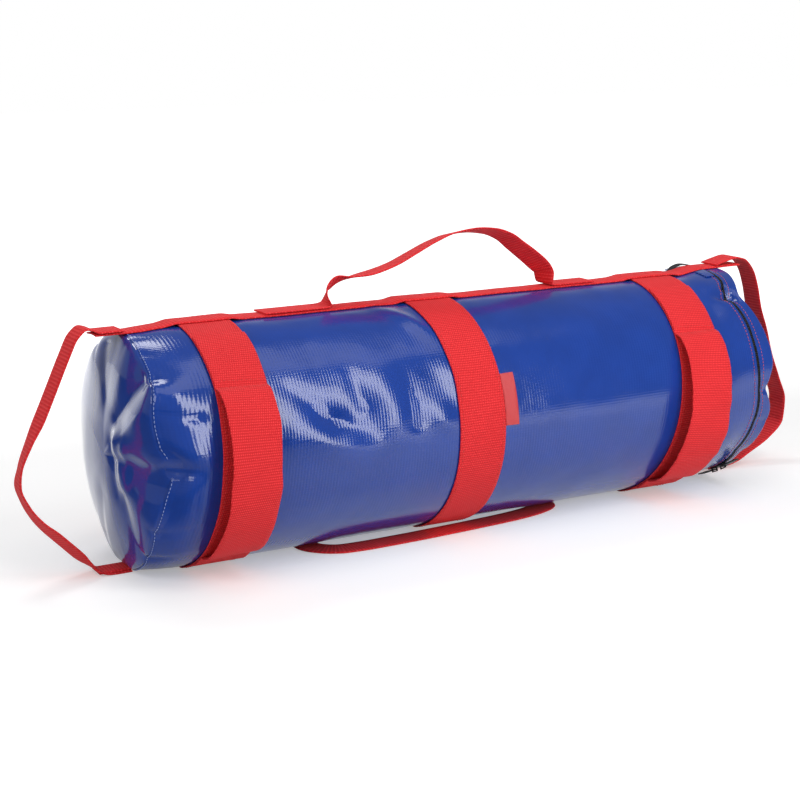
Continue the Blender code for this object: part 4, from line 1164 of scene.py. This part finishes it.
class BAG_OT_stitching(bpy.types.Operator):
    """Sews the seam of the end, both sides of the zip and the edges of the bands"""
    bl_idname = "weighted_bag.stitching"
    bl_label = "Stitching"

    def execute(self, context):
        sizes = context.scene.weighted_bag
        pitch = sizes.stitch_pitch
        for name, look, body, slot, x, first, last in (
                ("seam_stitches", "pale_thread", "bag", "white_cord", SEAM_X + 0.0009, -180.0, 180.0),
                ("zip_stitches_body", "orange_thread", "bag", "red_webbing", ZIP_X - 0.0062, 8.0, 352.0),
                ("zip_stitches_lid", "orange_thread", "lid", "red_webbing", ZIP_X + 0.0062, 8.0, 352.0)):
            places, ups = bag_row(x, first, last, 0.0, pitch * 0.8)
            seat(beaded(stitch_row(places, ups, sizes.thread, 0.78)), name, look, body)
        beads = []
        for middle in BAND_PLACES.values():
            for side in (-1, 1):
                x = middle + side * (WIDE_WEBBING / 2 - 0.0035)
                places, ups = bag_row(x, 9.0, 351.0, WEBBING_STEP, pitch)
                beads += stitch_row(places, ups, sizes.thread, 0.6)
        seat(beaded(beads), "band_stitches", "red_thread", "bag")
        return {"FINISHED"}


class BAG_OT_sand_bags(bpy.types.Operator):
    """Makes the tied canvas bags of sand that fill the tube"""
    bl_idname = "weighted_bag.sand_bags"
    bl_label = "Sand bags"

    def execute(self, context):
        for index in range(1, 5):
            name = "sand_bag_%d" % index
            low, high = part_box(name + "_skin")
            tie_low, tie_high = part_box(name + "_tie")
            side = (high.y - low.y) / 2 - 0.0020
            neck = (tie_high.y - tie_low.y) / 2 - 0.0030
            tie_x = (tie_low.x + tie_high.x) / 2
            corner = 0.012
            outline = [(low.x, 0.0), (low.x, side * 0.5)]
            outline += [(low.x + corner * (1 - cos(turn)), side - corner + corner * sin(turn))
                        for turn in np.linspace(0.0, pi / 2, 6)]
            outline += [(float(x), side) for x in np.linspace(low.x + 0.030, tie_x - 0.030, 6)]
            outline += [(tie_x - away, side * share)
                        for away, share in ((0.022, 0.97), (0.014, 0.74), (0.007, 0.36))]
            outline += [(tie_x - 0.003, neck * 1.05), (tie_x + 0.003, neck * 1.05), (high.x - 0.004, 0.024),
                        (high.x, 0.026), (high.x - 0.001, 0.0245), (tie_x + 0.003, neck * 0.5), (tie_x, 0.0)]
            bm = turned(outline, 144, closed=False)
            wrap_map(bm)

            def gathered(points, tie_x=tie_x):
                """Folds the canvas round its tied neck."""
                near = smooth_step(1.0 - np.abs(points[:, 0] - tie_x) / 0.026)
                turn = np.arctan2(points[:, 1], points[:, 2] - AXIS_HEIGHT)
                pleat = 1.0 + 0.10 * near * np.sin(turn * 18.0) + 0.05 * near * np.sin(turn * 29.0 + 1.0)
                points[:, 1] *= pleat
                points[:, 2] = AXIS_HEIGHT + (points[:, 2] - AXIS_HEIGHT) * pleat
                return points

            seat(bm, name + "_canvas", "plain_canvas", "bag", [name + "_skin"],
                 [draped, gathered])
            sand = frame["nodes"][name + "_sand"].data.materials
            sand.clear()
            sand.append(bpy.data.materials["loose_sand"])
            bm = bmesh.new()
            for lap in (-1, 0, 1):
                x = tie_x + lap * 2 * CORD
                verts = [bm.verts.new((x + CORD * cos(turn), 0.0, neck + 0.0020 + CORD * sin(turn)))
                         for turn in np.linspace(0, 2 * pi, 9)[:-1]]
                edges = [bm.edges.new(pair) for pair in zip(verts, verts[1:] + verts[:1])]
                bmesh.ops.spin(bm, geom=verts + edges, cent=(0, 0, 0), axis=(1, 0, 0), angle=2 * pi,
                               steps=48, use_merge=True)
            bmesh.ops.recalc_face_normals(bm, faces=bm.faces)
            seat(bm, name + "_cord", "braided_cord", "bag", [name + "_tie"], [draped])
        return {"FINISHED"}


def direction(azimuth, elevation):
    """The way from the bag at an azimuth and elevation in degrees; the front is at azimuth 0."""
    turn = radians(azimuth)
    rise = radians(elevation)
    return Vector((sin(turn) * cos(rise), -cos(turn) * cos(rise), sin(rise)))


class BAG_OT_stage(bpy.types.Operator):
    """Sets the pale floor, the studio lamps, the white surround and the camera"""
    bl_idname = "weighted_bag.stage"
    bl_label = "Stage"

    def execute(self, context):
        scene = context.scene
        scene.view_settings.view_transform = "Standard"
        bm = bmesh.new()
        bmesh.ops.create_grid(bm, x_segments=2, y_segments=2, size=6.0)
        mesh = bpy.data.meshes.new("floor")
        bm.to_mesh(mesh)
        bm.free()
        floor = placed("floor", mesh)
        look = Look("floor")
        place = look.place()
        spot = look.node("ShaderNodeVectorMath", {"operation": "MULTIPLY"}, {0: place, 1: (0.6, 1, 1)})
        away = look.node("ShaderNodeVectorMath", {"operation": "LENGTH"}, {0: spot}, output="Value")
        glow = look.mix(look.ramp(away, 0.45, 1.1), (0.35, 0.35, 0.35, 1), (1, 1, 1, 1))
        x, y = look.split(place)[:2]
        unlit = look.glossy() * look.ramp(x * -1 - y * 0.55, 0.20, 0.48)
        white = look.mix(unlit, (0.82, 0.82, 0.82, 1.0), (0.10, 0.10, 0.11, 1.0))
        look.finish(Base_Color=white, Roughness=1.0, Specular_IOR_Level=0.0,
                    Emission_Color=look.mix(look.seen() * (1 - unlit), (0, 0, 0, 1), glow),
                    Emission_Strength=1.0)
        mesh.materials.append(look.owner)

        scene.world = bpy.data.worlds.new("studio")
        surround = Look(scene.world)
        side, away, rise = surround.split(surround.node("ShaderNodeTexCoord"))
        behind = surround.ramp(away + side * 0.25, 0.70, 0.92) * surround.ramp(rise * -1, -0.60, -0.25)
        level = surround.mix(surround.seen(behind), (0.24, 0.24, 0.24, 1), (1, 1, 1, 1))
        surround.fill(surround.tree.nodes["Background"].inputs["Color"], level)

        for name, azimuth, elevation, distance, width, height, power in LAMPS:
            lamp = bpy.data.lights.new(name, "AREA")
            lamp.shape = "RECTANGLE"
            lamp.size = width
            lamp.size_y = height
            lamp.energy = power
            holder = placed(name, lamp)
            place = direction(azimuth, elevation) * distance
            holder.location = place + Vector((0, 0, AXIS_HEIGHT))
            holder.rotation_euler = place.to_track_quat("Z", "Y").to_euler()

        lens = bpy.data.cameras.new("camera")
        lens.sensor_width = 36.0
        lens.lens = CAMERA_LENS
        back_way = direction(CAMERA_AZIMUTH, CAMERA_ELEVATION)
        right_way = direction(CAMERA_AZIMUTH + 90.0, 0.0)
        scene.camera = placed("camera", lens)
        scene.camera.matrix_world = Matrix.Translation(CAMERA_PLACE) \
            @ Matrix((right_way, back_way.cross(right_way), back_way)).transposed().to_4x4()
        return {"FINISHED"}


class BAG_PT_panel(bpy.types.Panel):
    """Lists the pieces of the bag"""
    bl_idname = "BAG_PT_panel"
    bl_label = "Weighted Bag"
    bl_space_type = "VIEW_3D"
    bl_region_type = "UI"
    bl_category = "Weighted Bag"

    def draw(self, context):
        sizes = context.scene.weighted_bag
        for name in BagSizes.__annotations__:
            self.layout.prop(sizes, name)
        for operator in OPERATORS:
            self.layout.operator(operator.bl_idname)


OPERATORS = (
    BAG_OT_looks, BAG_OT_stage, BAG_OT_tube, BAG_OT_sewn_end, BAG_OT_bands, BAG_OT_grips,
    BAG_OT_label, BAG_OT_long_straps, BAG_OT_top_handle, BAG_OT_bottom_handle, BAG_OT_end_loops,
    BAG_OT_lid, BAG_OT_zip, BAG_OT_sliders, BAG_OT_stitching, BAG_OT_sand_bags)


def register():
    for cls in (BagSizes, *OPERATORS, BAG_PT_panel):
        bpy.utils.register_class(cls)
    bpy.types.Scene.weighted_bag = bpy.props.PointerProperty(type=BagSizes)


def unregister():
    del bpy.types.Scene.weighted_bag
    for cls in (BAG_PT_panel, *reversed(OPERATORS), BagSizes):
        bpy.utils.unregister_class(cls)


def main():
    """Builds the dressed bag."""
    register()
    for operator in OPERATORS:
        group, name = operator.bl_idname.split(".")
        getattr(getattr(bpy.ops, group), name)()


if __name__ == "__main__":
    main()
